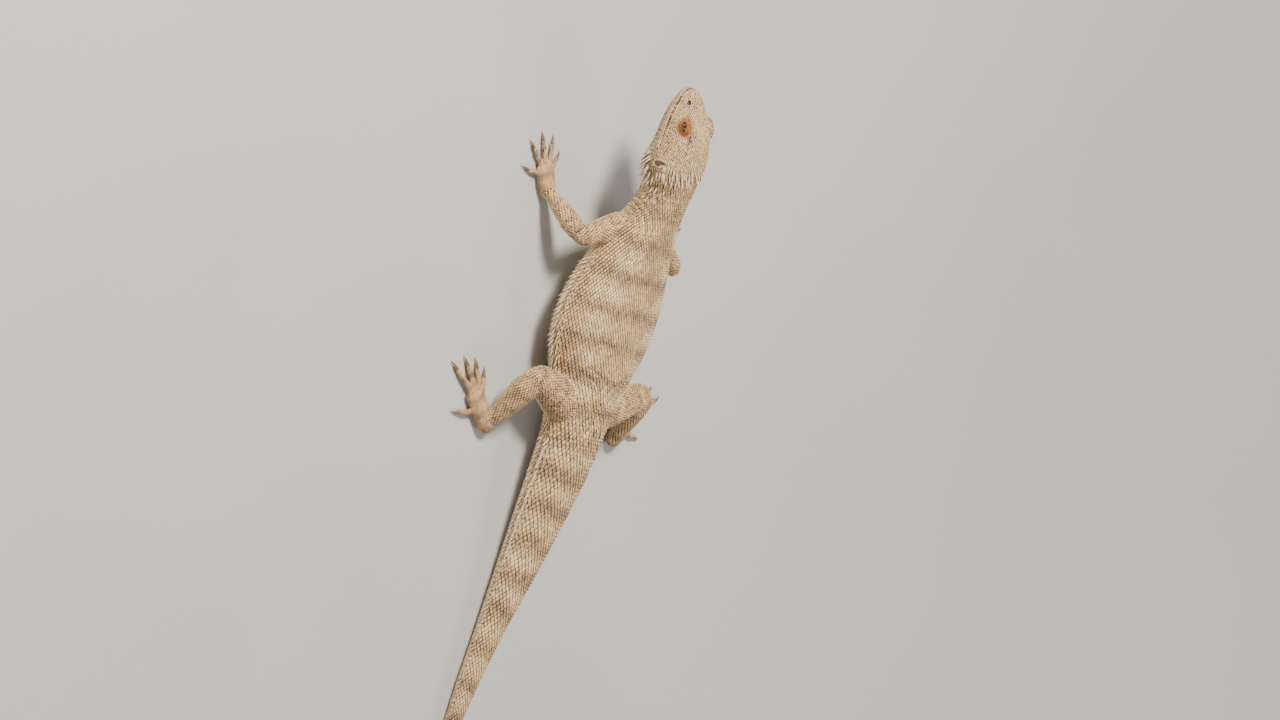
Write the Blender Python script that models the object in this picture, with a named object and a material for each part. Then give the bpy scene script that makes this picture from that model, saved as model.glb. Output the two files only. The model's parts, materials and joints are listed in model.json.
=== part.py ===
"""A central bearded dragon, life size, standing on its four feet with its tail laid on the floor.

Metres, +Z up. The animal faces -Y and its left side is +X. Places along the body are measured
forward from the hip joints, so those of the tail are negative. Each part of the animal is one
closed solid, and solids that touch keep GAP between them.
"""

import math
import random
from typing import NamedTuple

import bmesh
import bpy
from mathutils import Matrix, Vector

# Driving sizes
SNOUT_TO_VENT = 0.208
TAIL_LENGTH = 0.250
HEAD_LENGTH = 0.050
VENT = -0.016
HEAD_JOINT = VENT + SNOUT_TO_VENT - HEAD_LENGTH
TAIL_END = VENT - TAIL_LENGTH
GAP = 0.0003

# How the head is carried: turned to the animal's left and raised a little
HEAD_TURN = math.radians(15)
HEAD_RAISE = math.radians(9)

# Where the trunk is parted, from the head's joint to the tail's end
CHEST_FRONT = 0.116
BELLY_FRONT = 0.058
TAIL_MIDDLE_FRONT = -0.095
TAIL_LAST_FRONT = -0.180

TRUNK_SIDES = 24
UP = Vector((0.0, 0.0, 1.0))
LEFT, RIGHT = 1, -1
SIDE_NAMES = {LEFT: "left", RIGHT: "right"}


class Section(NamedTuple):
    """One cross-section of the trunk or the head, at its widest level."""

    along: float
    sideways: float
    height: float
    half_width: float
    above: float
    below: float
    square: float
    lean: float


TRUNK = (
    Section(TAIL_END, 0.022, 0.0011, 0.0011, 0.0011, 0.0013, 2.0, 0.0),
    Section(-0.225, 0.025, 0.0030, 0.0033, 0.0031, 0.0032, 2.0, 0.0),
    Section(TAIL_LAST_FRONT, 0.022, 0.0048, 0.0058, 0.0052, 0.0050, 2.0, 0.0),
    Section(-0.135, 0.014, 0.0067, 0.0090, 0.0074, 0.0070, 2.1, 0.0),
    Section(TAIL_MIDDLE_FRONT, 0.006, 0.0090, 0.0138, 0.0100, 0.0093, 2.2, 0.0),
    Section(-0.064, 0.002, 0.0122, 0.0172, 0.0118, 0.0108, 2.3, 0.0),
    Section(-0.036, 0.0, 0.0162, 0.0200, 0.0134, 0.0124, 2.3, 0.04),
    Section(VENT, 0.0, 0.0185, 0.0212, 0.0152, 0.0135, 2.3, 0.06),
    Section(0.000, 0.0, 0.0192, 0.0238, 0.0172, 0.0142, 2.3, 0.08),
    Section(0.018, 0.0, 0.0196, 0.0300, 0.0190, 0.0148, 2.2, 0.10),
    Section(0.040, 0.0, 0.0208, 0.0385, 0.0204, 0.0152, 2.2, 0.12),
    Section(0.062, 0.0, 0.0238, 0.0390, 0.0200, 0.0158, 2.2, 0.12),
    Section(0.084, 0.0, 0.0284, 0.0325, 0.0180, 0.0160, 2.2, 0.10),
    Section(0.102, 0.0, 0.0336, 0.0245, 0.0158, 0.0156, 2.2, 0.08),
    Section(CHEST_FRONT, 0.0004, 0.0388, 0.0188, 0.0140, 0.0142, 2.2, 0.08),
    Section(0.130, 0.0020, 0.0444, 0.0168, 0.0132, 0.0130, 2.3, 0.16),
    Section(HEAD_JOINT, 0.0050, 0.0476, 0.0188, 0.0154, 0.0128, 2.5, 0.28),
)

# The head's sections, forward from its joint; heights are from the joint to the line of the mouth
HEAD = (
    Section(0.0000, 0.0, 0.0000, 0.0188, 0.0154, 0.0128, 2.5, 0.28),
    Section(0.0050, 0.0, 0.0002, 0.0208, 0.0162, 0.0130, 2.5, 0.32),
    Section(0.0100, 0.0, 0.0006, 0.0208, 0.0165, 0.0126, 2.5, 0.30),
    Section(0.0160, 0.0, 0.0010, 0.0188, 0.0163, 0.0118, 2.5, 0.25),
    Section(0.0220, 0.0, 0.0006, 0.0168, 0.0163, 0.0106, 2.5, 0.18),
    Section(0.0280, 0.0, -0.0002, 0.0146, 0.0161, 0.0094, 2.5, 0.13),
    Section(0.0340, 0.0, -0.0006, 0.0124, 0.0146, 0.0083, 2.5, 0.13),
    Section(0.0400, 0.0, -0.0004, 0.0101, 0.0117, 0.0070, 2.4, 0.15),
    Section(0.0450, 0.0, 0.0000, 0.0078, 0.0086, 0.0056, 2.3, 0.16),
    Section(0.0485, 0.0, 0.0002, 0.0052, 0.0055, 0.0040, 2.2, 0.12),
    Section(HEAD_LENGTH, 0.0, 0.0002, 0.0026, 0.0026, 0.0022, 2.0, 0.08),
)
HEAD_CUTS = (
    0.0, 0.003, 0.006, 0.010, 0.0145, 0.019, 0.0235, 0.028, 0.032,
    0.036, 0.040, 0.0435, 0.0465, 0.0487, HEAD_LENGTH,
)
MOUTH_CORNER = 0.017
LIP_GROOVE = 0.0007
LIP_ANGLE = math.radians(9)
CROWN_STEPS = 11
CHIN_STEPS = 9

# Eyes, lids, brows, nostrils and ears, in the head's own forward, left and up
EYE_PLACE = (0.0302, 0.0074, 0.0092)
EYE_AXIS = Vector((0.22, 0.94, 0.26)).normalized()
EYE_RADIUS = 0.0046
LID_THICKNESS = 0.0008
LID_OPENING = (0.0031, 0.0020)
LID_SLANT = math.radians(10)
BROW_PLACE = (0.0292, 0.0086, 0.0138)
BROW_HALF = (0.0060, 0.0021, 0.0021)
BROW_SLOPE = math.radians(4)
NOSTRIL_PLACE = (0.0436, 0.0062, 0.0062)
NOSTRIL_RADIUS = 0.0009
NOSTRIL_RIM = 0.0017
EAR_PLACE = (0.0082, 0.0200, 0.0042)
EAR_HALF = (0.0021, 0.0018, 0.0029)
DRUM_DEPTH = 0.0007


# Shoulder, elbow and wrist, then hip, knee and ankle: out, along and height
JOINTS = {
    "fore": ((0.012, 0.107, 0.0300), (0.0450, 0.0915, 0.0270), (0.0552, 0.1080, 0.0046)),
    "hind": ((0.008, -0.002, 0.0200), (0.0500, 0.0140, 0.0250), (0.0585, -0.0175, 0.0050)),
}
# How far each foot is set forward of its plain place, and each joint's share of that
STRIDE = {
    ("fore", LEFT): 0.006, ("fore", RIGHT): -0.003,
    ("hind", LEFT): -0.003, ("hind", RIGHT): 0.005,
}
STRIDE_SHARES = (0.0, 0.4, 1.0)
# Radii at shares of the way from one joint to the next
LEG_PROFILES = {
    "upper_arm": (
        (0.0, 0.0086), (0.3, 0.0084), (0.55, 0.0074), (0.78, 0.0066), (0.94, 0.0060),
        (1.05, 0.0046), (1.10, 0.0024),
    ),
    "forearm": (
        (-0.05, 0.0040), (0.08, 0.0056), (0.32, 0.0063), (0.6, 0.0053), (0.84, 0.0042),
        (1.0, 0.0036),
    ),
    "thigh": (
        (0.0, 0.0122), (0.25, 0.0124), (0.48, 0.0112), (0.7, 0.0096), (0.88, 0.0082),
        (1.0, 0.0066), (1.06, 0.0040),
    ),
    "shin": (
        (-0.05, 0.0050), (0.07, 0.0070), (0.30, 0.0079), (0.58, 0.0066), (0.84, 0.0050),
        (1.0, 0.0042),
    ),
}
LEG_FLATNESS = 0.94
LEG_SIDES = 12


class FootPoint(NamedTuple):
    """A point on a foot's middle line, with how wide and deep the foot is there."""

    out: float
    along: float
    height: float
    half_width: float
    half_depth: float


PALM = (
    FootPoint(0.0543, 0.1058, 0.0029, 0.0030, 0.0027),
    FootPoint(0.0556, 0.1084, 0.0038, 0.0050, 0.0041),
    FootPoint(0.0590, 0.1158, 0.0033, 0.0064, 0.0036),
    FootPoint(0.0622, 0.1228, 0.0024, 0.0056, 0.0027),
)
SOLE = (
    FootPoint(0.0562, -0.0212, 0.0031, 0.0032, 0.0029),
    FootPoint(0.0588, -0.0182, 0.0042, 0.0053, 0.0045),
    FootPoint(0.0664, -0.0098, 0.0037, 0.0062, 0.0040),
    FootPoint(0.0745, -0.0010, 0.0026, 0.0064, 0.0029),
)
STEPS_PER_SPAN = 2


class Digit(NamedTuple):
    """A finger or toe: its turn away from the foot's own direction, and where it starts."""

    turn: float
    length: float
    start: float
    offset: float


FINGERS = (
    Digit(-52, 0.0085, 0.0040, -0.0030),
    Digit(-24, 0.0120, 0.0010, -0.0026),
    Digit(-2, 0.0138, 0.0000, -0.0002),
    Digit(20, 0.0134, 0.0006, 0.0022),
    Digit(54, 0.0098, 0.0044, 0.0034),
)
TOES = (
    Digit(-40, 0.0088, 0.0040, -0.0036),
    Digit(-19, 0.0126, 0.0010, -0.0030),
    Digit(-3, 0.0170, 0.0000, -0.0008),
    Digit(12, 0.0212, 0.0004, 0.0018),
    Digit(52, 0.0120, 0.0110, 0.0034),
)
DIGIT_RADIUS = {"fore": 0.00185, "hind": 0.00205}
DIGIT_TAPER = 0.72
DIGIT_ARCH = 0.0012
DIGIT_SIDES = 7
DIGIT_STEPS = 4
CLAW_LENGTH = {"fore": 0.0048, "hind": 0.0054}
CLAW_SIDES = 6
CLAW_ROOT = 0.60
CLAW_POINT = 0.00012
# Shares of the claw's length, each with how steeply it drops there
CLAW_BENDS = ((0.2, 0.0), (0.27, 0.14), (0.27, 0.38), (0.26, 0.66))

FLOOR_CUTTER = (0.8, 0.8, 0.02)

# Colours in linear light, with roughness
FINISHES = {
    "skin": ((0.52, 0.37, 0.22), 0.75),
    "horn": ((0.30, 0.15, 0.05), 0.35),
    "eye": ((0.35, 0.16, 0.04), 0.10),
    "eardrum": ((0.22, 0.15, 0.10), 0.50),
}


class SpineRow(NamedTuple):
    """Spines in a row along each side of a length of the trunk."""

    node: str
    first: float
    last: float
    count: int
    angle: float
    first_size: float
    last_size: float


class SpineBand(NamedTuple):
    """Spines in a band across the head, the beard or the neck."""

    node: str
    along: float
    first_angle: float
    last_angle: float
    count: int
    size: float


SPINE_ROWS = (
    SpineRow("chest", 0.0845, 0.0602, 7, -4, 0.0036, 0.0045),
    SpineRow("belly", 0.0555, 0.0245, 8, -4, 0.0045, 0.0036),
    SpineRow("chest", 0.0825, 0.0618, 6, -19, 0.0027, 0.0032),
    SpineRow("belly", 0.0548, 0.0265, 7, -19, 0.0032, 0.0028),
    SpineRow("chest", 0.1120, 0.0620, 7, 62, 0.0019, 0.0021),
    SpineRow("belly", 0.0550, -0.0060, 8, 62, 0.0021, 0.0020),
    SpineRow("chest", 0.1085, 0.0655, 6, 40, 0.0017, 0.0019),
    SpineRow("belly", 0.0515, 0.0210, 5, 40, 0.0019, 0.0018),
    SpineRow("tail_base", -0.0220, -0.0900, 14, 5, 0.0034, 0.0029),
    SpineRow("tail_base", -0.0250, -0.0880, 9, 48, 0.0022, 0.0019),
    SpineRow("tail_middle", -0.0985, -0.1765, 15, 5, 0.0027, 0.0016),
    SpineRow("tail_middle", -0.1000, -0.1740, 9, 48, 0.0018, 0.0013),
)
SPINE_BANDS = (
    SpineBand("jaw_and_beard", 0.0034, -14, -166, 13, 0.0046),
    SpineBand("jaw_and_beard", 0.0072, -12, -168, 12, 0.0041),
    SpineBand("jaw_and_beard", 0.0110, -13, -167, 11, 0.0034),
    SpineBand("jaw_and_beard", 0.0148, -16, -164, 8, 0.0027),
    SpineBand("head", 0.0028, 34, 146, 8, 0.0034),
    SpineBand("head", 0.0062, 40, 140, 6, 0.0025),
    SpineBand("head", 0.0030, 9, 23, 3, 0.0042),
    SpineBand("head", 0.0030, 157, 171, 3, 0.0042),
    SpineBand("neck", 0.1350, 6, 30, 3, 0.0034),
    SpineBand("neck", 0.1350, 150, 174, 3, 0.0034),
    SpineBand("neck", 0.1285, -2, 26, 3, 0.0030),
    SpineBand("neck", 0.1285, 154, 182, 3, 0.0030),
    SpineBand("neck", 0.1225, 55, 125, 4, 0.0020),
)
# Spines on the legs: shares along, then angles round from the tail's side
LEG_SPINES = {
    "thigh": ((0.45, 0.58, 0.71, 0.84), (15, 60), 0.0021),
    "forearm": ((0.30, 0.48, 0.66), (40, 100), 0.0016),
}
SPINE_TILT = math.radians(48)
SPINE_SIDES = 5
SPINE_ROOT_SHARE = 0.33
SPINE_SUNK = 1.1
SPINE_VARIETY = 0.10
THROAT_SHARE = 0.68


class Axes(NamedTuple):
    """A place with the forward, left and up directions of the flesh there."""

    origin: Vector
    forward: Vector
    left: Vector
    up: Vector

    def at(self, ahead, left, up):
        """The world point that far ahead, left and up."""
        return self.origin + self.forward * ahead + self.left * left + self.up * up

    def way(self, ahead, left, up):
        """The world direction with those parts."""
        return (self.forward * ahead + self.left * left + self.up * up).normalized()


def clear_scene():
    for obj in list(bpy.data.objects):
        bpy.data.objects.remove(obj, do_unlink=True)


def make_collection(name):
    collection = bpy.data.collections.new(name)
    bpy.context.scene.collection.children.link(collection)
    return collection


def make_material(name):
    colour, roughness = FINISHES[name]
    material = bpy.data.materials.new(name)
    material.use_nodes = True
    shader = material.node_tree.nodes["Principled BSDF"]
    shader.inputs["Base Color"].default_value = (*colour, 1.0)
    shader.inputs["Roughness"].default_value = roughness
    shader.inputs["Metallic"].default_value = 0.0
    return material


def slope_at(sections, index, field, end_slope=None):
    """The slope of one field at a section, from its neighbours."""
    if end_slope is not None and index == len(sections) - 1:
        return end_slope
    before = sections[max(index - 1, 0)]
    after = sections[min(index + 1, len(sections) - 1)]
    return (getattr(after, field) - getattr(before, field)) / (after.along - before.along)


def blend_sections(sections, along, end_slopes=()):
    """The section at a place between the given ones, on smooth cubic curves."""
    last = len(sections) - 2
    index = next((i for i in range(last) if along < sections[i + 1].along), last)
    first, second = sections[index], sections[index + 1]
    span = second.along - first.along
    t = (along - first.along) / span
    slopes = dict(end_slopes)
    values = {}
    for field in Section._fields[1:]:
        start, end = getattr(first, field), getattr(second, field)
        start_slope = slope_at(sections, index, field, slopes.get(field)) * span
        end_slope = slope_at(sections, index + 1, field, slopes.get(field)) * span
        values[field] = (
            (2 * t**3 - 3 * t**2 + 1) * start
            + (t**3 - 2 * t**2 + t) * start_slope
            + (3 * t**2 - 2 * t**3) * end
            + (t**3 - t**2) * end_slope
        )
    return Section(along, **values)


def trunk_section(along):
    ends = (("sideways", math.tan(HEAD_TURN)), ("height", math.tan(HEAD_RAISE)))
    return blend_sections(TRUNK, along, ends)


def trunk_axes(along):
    """The place and directions of the backbone's line."""
    step = 0.0005
    near, far = max(along - step, TAIL_END), min(along + step, HEAD_JOINT)

    def point(place):
        section = trunk_section(place)
        return Vector((section.sideways, -place, section.height))

    if along > HEAD_JOINT - step:
        forward = Vector((math.tan(HEAD_TURN), -1.0, math.tan(HEAD_RAISE))).normalized()
    else:
        forward = (point(far) - point(near)).normalized()
    left = UP.cross(forward).normalized()
    return Axes(point(along), forward, left, forward.cross(left))


def head_axes():
    return trunk_axes(HEAD_JOINT)


def section_point(section, angle):
    """(left, up) of the section's outline at an angle from its left edge, over the top."""
    power = 2 / section.square
    across, rise = math.cos(angle), math.sin(angle)
    share = math.copysign(abs(rise) ** power, rise)
    reach = section.above if rise > 0 else section.below
    narrowing = 1 - section.lean * max(share, 0.0) ** 1.5
    left = section.half_width * math.copysign(abs(across) ** power, across) * narrowing
    return left, share * reach


def loft(name, rings):
    """A closed mesh object through rings of equally many points."""
    shape = bmesh.new()
    rows = [[shape.verts.new(point) for point in ring] for ring in rings]
    count = len(rows[0])
    for first, second in zip(rows, rows[1:]):
        for i in range(count):
            j = (i + 1) % count
            shape.faces.new((first[i], first[j], second[j], second[i]))
    shape.faces.new(rows[0])
    shape.faces.new(rows[-1])
    bmesh.ops.triangulate(shape, faces=shape.faces, quad_method="FIXED")
    return object_of(name, shape)


def object_of(name, shape):
    """A new object of a finished closed shape, with its faces turned outward."""
    shape.normal_update()
    bmesh.ops.recalc_face_normals(shape, faces=shape.faces)
    mesh = bpy.data.meshes.new(name)
    shape.to_mesh(mesh)
    shape.free()
    return bpy.data.objects.new(name, mesh)


def trunk_ring(along, grown=0.0, sides=TRUNK_SIDES):
    section = trunk_section(along)
    section = section._replace(
        half_width=section.half_width + grown,
        above=section.above + grown,
        below=section.below + grown,
    )
    axes = trunk_axes(along)
    outline = (section_point(section, math.tau * i / sides) for i in range(sides))
    return [axes.at(0.0, left, up) for left, up in outline]


def trunk_length(name, rear, front, steps, grown=0.0):
    """A length of the trunk between two cuts across it."""
    places = [rear + (front - rear) * i / steps for i in range(steps + 1)]
    return loft(name, [trunk_ring(place, grown) for place in places])


def trunk_surface(along, angle):
    """(point, outward, backward) on the trunk's skin."""
    return surface_frame(
        lambda place, turn: trunk_axes(place).at(0.0, *section_point(trunk_section(place), turn)),
        along,
        angle,
    )


def head_surface(ahead, angle):
    """(point, outward, backward) on the head's skin."""
    axes = head_axes()

    def point(place, turn):
        section = blend_sections(HEAD, place)
        left, up = section_point(section, turn)
        return axes.at(place, left, up + section.height)

    return surface_frame(point, ahead, angle)


def surface_frame(point, along, angle):
    step, turn = 0.0004, 0.02
    backward = (point(along - step, angle) - point(along + step, angle)).normalized()
    around = point(along, angle + turn) - point(along, angle - turn)
    outward = backward.cross(around).normalized()
    return point(along, angle), outward, backward


def head_half(name, crown):
    """The skull above the line of the mouth, or the jaw and throat below it."""
    axes = head_axes()
    steps = CROWN_STEPS if crown else CHIN_STEPS
    inner = [math.pi * i / steps for i in range(1, steps)]
    angles = [0.0, LIP_ANGLE, *inner, math.pi - LIP_ANGLE, math.pi]
    rings = []
    for ahead in HEAD_CUTS:
        section = blend_sections(HEAD, ahead)
        groove = LIP_GROOVE * min(1.0, max(0.0, (ahead - MOUTH_CORNER) / 0.003))
        groove = min(groove, section.half_width / 4)
        place = min(max(ahead, GAP / 2), HEAD_LENGTH)
        ring = []
        for number, angle in enumerate(angles):
            left, up = section_point(section, angle if crown else -angle)
            if number in (0, len(angles) - 1):
                left -= math.copysign(groove, left)
                up = GAP / 2 if crown else -GAP / 2
            ring.append(axes.at(place, left, up + section.height))
        rings.append(ring)
    return loft(name, rings)


def ball(name, centre, radii, directions, segments=12, rings=8):
    """An ellipsoid with its half sizes along the given forward, left and up directions."""
    shape = bmesh.new()
    bmesh.ops.create_uvsphere(shape, u_segments=segments, v_segments=rings, radius=1.0)
    for vert in shape.verts:
        spot = vert.co.copy()
        vert.co = centre + sum(
            (way * spot[i] * radii[i] for i, way in enumerate(directions)), Vector()
        )
    return object_of(name, shape)


def peg(name, centre, axis, sideways, radii, half_length, sides, tip_share=1.0):
    """A cylinder or cone round an axis, wide and high as the radii say, its tip end outward."""
    shape = bmesh.new()
    bmesh.ops.create_cone(
        shape, cap_ends=True, segments=sides, radius1=1.0, radius2=tip_share, depth=2.0
    )
    wide = (sideways - axis * sideways.dot(axis)).normalized()
    high = axis.cross(wide)
    for vert in shape.verts:
        x, y, z = vert.co
        vert.co = centre + wide * x * radii[0] + high * y * radii[1] + axis * z * half_length
    return object_of(name, shape)


def spine(surface, size):
    """A pointed scale: a cone that leans back, its root sunk well in the flesh."""
    point, outward, backward = surface
    size *= random.uniform(1 - SPINE_VARIETY, 1 + SPINE_VARIETY)
    tilt = SPINE_TILT + random.uniform(-0.12, 0.12)
    way = outward * math.cos(tilt) + backward * math.sin(tilt)
    root = size * SPINE_ROOT_SHARE
    sunk = root * SPINE_SUNK
    length = size + sunk
    centre = point - way * sunk + way * length / 2
    across = outward.cross(backward)
    return peg("spine", centre, way, across, (root, root * 0.8), length / 2, SPINE_SIDES, 0.0)


def trunk_and_head_spines():
    """Lists of spines by the node that carries them."""
    spines = {}
    for row in SPINE_ROWS:
        for i in range(row.count):
            share = i / (row.count - 1)
            along = row.first + (row.last - row.first) * share
            size = row.first_size + (row.last_size - row.first_size) * share
            for angle in (row.angle, 180 - row.angle):
                surface = trunk_surface(along, math.radians(angle))
                spines.setdefault(row.node, []).append(spine(surface, size))
    for band in SPINE_BANDS:
        for i in range(band.count):
            share = i / (band.count - 1)
            angle = math.radians(band.first_angle + (band.last_angle - band.first_angle) * share)
            throat = max(0.0, -math.sin(angle)) ** 2
            size = band.size * (1 - (1 - THROAT_SHARE) * throat)
            find = trunk_surface if band.node == "neck" else head_surface
            spines.setdefault(band.node, []).append(spine(find(band.along, angle), size))
    return spines


def leg_spines(name, side, start, end):
    """The spines of a thigh or a forearm."""
    if name not in LEG_SPINES:
        return []
    shares, angles, size = LEG_SPINES[name]
    profile = LEG_PROFILES[name]
    forward = (end - start).normalized()
    left = UP.cross(forward).normalized()
    up = forward.cross(left)
    found = []
    for number, share in enumerate(shares):
        index = next(i for i in range(len(profile) - 1) if share <= profile[i + 1][0])
        (near, near_radius), (far, far_radius) = profile[index], profile[index + 1]
        radius = near_radius + (far_radius - near_radius) * (share - near) / (far - near)
        for turn in angles:
            angle = math.radians(turn + 12 * (number % 2))
            angle = angle if side == LEFT else math.pi - angle
            outward = left * math.cos(angle) + up * math.sin(angle)
            point = start + (end - start) * share + outward * radius * 0.97
            found.append(spine((point, outward, forward), size))
    return found


def boolean(obj, operation, pieces, solver="EXACT"):
    """Applies one union with, or one cut by, all of the pieces, which are then removed."""
    group = bpy.data.collections.new("pieces")
    bpy.context.scene.collection.children.link(group)
    bpy.context.scene.collection.objects.link(obj)
    for piece in pieces:
        group.objects.link(piece)
    modifier = obj.modifiers.new(operation.lower(), "BOOLEAN")
    modifier.operation = operation
    modifier.solver = solver
    modifier.operand_type = "COLLECTION"
    modifier.collection = group
    bpy.context.view_layer.update()
    graph = bpy.context.evaluated_depsgraph_get()
    mesh = bpy.data.meshes.new_from_object(obj.evaluated_get(graph))
    obj.modifiers.clear()
    obj.data = mesh
    for piece in pieces:
        bpy.data.objects.remove(piece, do_unlink=True)
    bpy.data.collections.remove(group)
    bpy.context.scene.collection.objects.unlink(obj)
    return keep_largest(obj)


def keep_largest(obj):
    """Leaves only the mesh's largest closed surface."""
    shape = bmesh.new()
    shape.from_mesh(obj.data)
    left = set(shape.verts)
    islands = []
    while left:
        island, front = set(), [left.pop()]
        while front:
            vert = front.pop()
            island.add(vert)
            for edge in vert.link_edges:
                other = edge.other_vert(vert)
                if other in left:
                    left.remove(other)
                    front.append(other)
        islands.append(island)
    islands.sort(key=len)
    loose = [vert for island in islands[:-1] for vert in island]
    bmesh.ops.delete(shape, geom=loose, context="VERTS")
    shape.to_mesh(obj.data)
    shape.free()
    return obj


def floor_cutter():
    """A slab under the floor's level, for cutting flat soles."""
    shape = bmesh.new()
    bmesh.ops.create_cube(shape, size=1.0)
    width, length, depth = FLOOR_CUTTER
    bmesh.ops.scale(shape, vec=(width, length, depth), verts=shape.verts)
    bmesh.ops.translate(shape, vec=(0.0, 0.0, -depth / 2), verts=shape.verts)
    return object_of("floor_cutter", shape)


def trunk_clearance(rear, front):
    """The trunk grown by the gap, for cutting the roots of the legs."""
    return trunk_length("trunk_clearance", rear, front, 40, GAP)


def eye_directions(axes, side):
    """The outward axis of an eye, its long direction towards the snout, and its high one."""
    outward = axes.way(EYE_AXIS.x, EYE_AXIS.y * side, EYE_AXIS.z)
    long_way = axes.way(math.cos(LID_SLANT), 0.0, -math.sin(LID_SLANT))
    long_way = (long_way - outward * long_way.dot(outward)).normalized()
    return outward, long_way, outward.cross(long_way)


def build_eye(side):
    axes = head_axes()
    outward, long_way, high_way = eye_directions(axes, side)
    ahead, left, up = EYE_PLACE
    radii = (EYE_RADIUS, EYE_RADIUS, EYE_RADIUS)
    return ball("eye_" + SIDE_NAMES[side], axes.at(ahead, left * side, up), radii,
                (long_way, high_way, outward), 12, 8)


def ear_parts(side):
    """The centre and directions of an ear's cup."""
    axes = head_axes()
    ahead, left, up = EAR_PLACE
    outward = axes.way(-0.15, 0.95 * side, 0.25)
    high = (axes.up - outward * axes.up.dot(outward)).normalized()
    return axes.at(ahead, left * side, up), (high.cross(outward), outward, high)


def build_eardrum(side):
    """The floor of the ear's cup, as a thin cap that lies in it."""
    centre, directions = ear_parts(side)
    radii = [half - GAP for half in EAR_HALF]
    drum = ball("eardrum_" + SIDE_NAMES[side], centre, radii, directions, 12, 8)
    shape = bmesh.new()
    shape.from_mesh(drum.data)
    geometry = [*shape.verts, *shape.edges, *shape.faces]
    cut = bmesh.ops.bisect_plane(
        shape, geom=geometry, plane_co=centre - directions[1] * DRUM_DEPTH,
        plane_no=directions[1], clear_outer=True,
    )
    rim = [item for item in cut["geom_cut"] if isinstance(item, bmesh.types.BMEdge)]
    bmesh.ops.holes_fill(shape, edges=rim)
    bmesh.ops.recalc_face_normals(shape, faces=shape.faces)
    shape.to_mesh(drum.data)
    shape.free()
    return drum


def head_features(side):
    """(pieces to fuse, pieces to cut) for one side of the head."""
    axes = head_axes()
    outward, long_way, high_way = eye_directions(axes, side)
    eye_way = (long_way, high_way, outward)
    ahead, left, up = EYE_PLACE
    centre = axes.at(ahead, left * side, up)
    socket = EYE_RADIUS + GAP
    dome = socket + LID_THICKNESS
    lids = ball("lids", centre, (dome, dome, dome), eye_way, 14, 8)
    hollow = ball("hollow", centre, (socket, socket, socket), eye_way, 14, 8)
    opening = peg("opening", centre + outward * dome, outward, long_way, LID_OPENING, dome, 12)
    brow_way = axes.way(math.cos(BROW_SLOPE), -0.12 * side, -math.sin(BROW_SLOPE))
    brow_side = (axes.left - brow_way * axes.left.dot(brow_way)).normalized()
    ahead, left, up = BROW_PLACE
    brow = ball("brow", axes.at(ahead, left * side, up), BROW_HALF,
                (brow_way, brow_side, brow_way.cross(brow_side)), 10, 8)
    ahead, left, up = NOSTRIL_PLACE
    breath = axes.way(0.35, 0.80 * side, 0.45)
    spot = axes.at(ahead, left * side, up)
    rim = peg("rim", spot, breath, axes.forward, (NOSTRIL_RIM, NOSTRIL_RIM * 0.8),
              0.0009, 10, 0.7)
    hole = peg("hole", spot + breath * 0.0006, breath, axes.forward,
               (NOSTRIL_RADIUS, NOSTRIL_RADIUS * 0.8), 0.0014, 8)
    place, directions = ear_parts(side)
    cup = ball("cup", place, EAR_HALF, directions, 12, 8)
    return [lids, brow, rim], [hollow, opening, hole, cup]


def build_head(spines):
    fused, cut = [], []
    for side in (LEFT, RIGHT):
        more_fused, more_cut = head_features(side)
        fused += more_fused
        cut += more_cut
    skull = boolean(head_half("head", True), "UNION", fused + spines)
    return boolean(skull, "DIFFERENCE", cut)


def build_jaw(spines):
    return boolean(head_half("jaw_and_beard", False), "UNION", spines)


def build_trunk(spines):
    """The neck, chest, belly and the three lengths of the tail."""
    spans = (
        ("neck", CHEST_FRONT, HEAD_JOINT, 4),
        ("chest", BELLY_FRONT, CHEST_FRONT, 6),
        ("belly", VENT, BELLY_FRONT, 8),
        ("tail_base", TAIL_MIDDLE_FRONT, VENT, 8),
        ("tail_middle", TAIL_LAST_FRONT, TAIL_MIDDLE_FRONT, 7),
        ("tail_end", TAIL_END, TAIL_LAST_FRONT, 7),
    )
    parts = []
    for name, rear, front, steps in spans:
        part = trunk_length(name, rear + GAP / 2, front - GAP / 2, steps)
        if spines.get(name):
            part = boolean(part, "UNION", spines[name])
        if name.startswith("tail"):
            part = boolean(part, "DIFFERENCE", [floor_cutter()])
        parts.append(part)
    return parts


def leg_joints(kind, side):
    """The world places of a leg's three joints."""
    return [
        Vector((out * side, -(along + share * STRIDE[kind, side]), height))
        for (out, along, height), share in zip(JOINTS[kind], STRIDE_SHARES)
    ]


def leg_bone(name, profile, start, end, grown=0.0):
    """A straight length of a leg between two joints, with all of it grown if asked."""
    forward = (end - start).normalized()
    left = UP.cross(forward).normalized()
    axes = Axes(start, forward, left, forward.cross(left))
    length = (end - start).length
    last = len(profile) - 1
    rings = []
    for i, (share, radius) in enumerate(profile):
        shift = -grown if i == 0 else grown if i == last else 0.0
        wide, deep = radius + grown, radius * LEG_FLATNESS + grown
        rings.append([
            axes.at(share * length + shift, wide * math.cos(angle), deep * math.sin(angle))
            for angle in (math.tau * k / LEG_SIDES for k in range(LEG_SIDES))
        ])
    return loft(name, rings)


def foot_point(points, kind, side, position):
    """(place, half width, half depth) at a position counted in spans along a foot."""
    index = min(int(position), len(points) - 2)
    t = position - index
    near = [points[min(max(index + k, 0), len(points) - 1)] for k in (-1, 0, 1, 2)]

    def mix(field):
        a, b, c, d = (getattr(point, field) for point in near)
        return 0.5 * (
            2 * b + (c - a) * t + (2 * a - 5 * b + 4 * c - d) * t**2
            + (3 * b - a - 3 * c + d) * t**3
        )

    place = Vector((mix("out") * side, -(mix("along") + STRIDE[kind, side]), mix("height")))
    return place, mix("half_width"), mix("half_depth")


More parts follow.
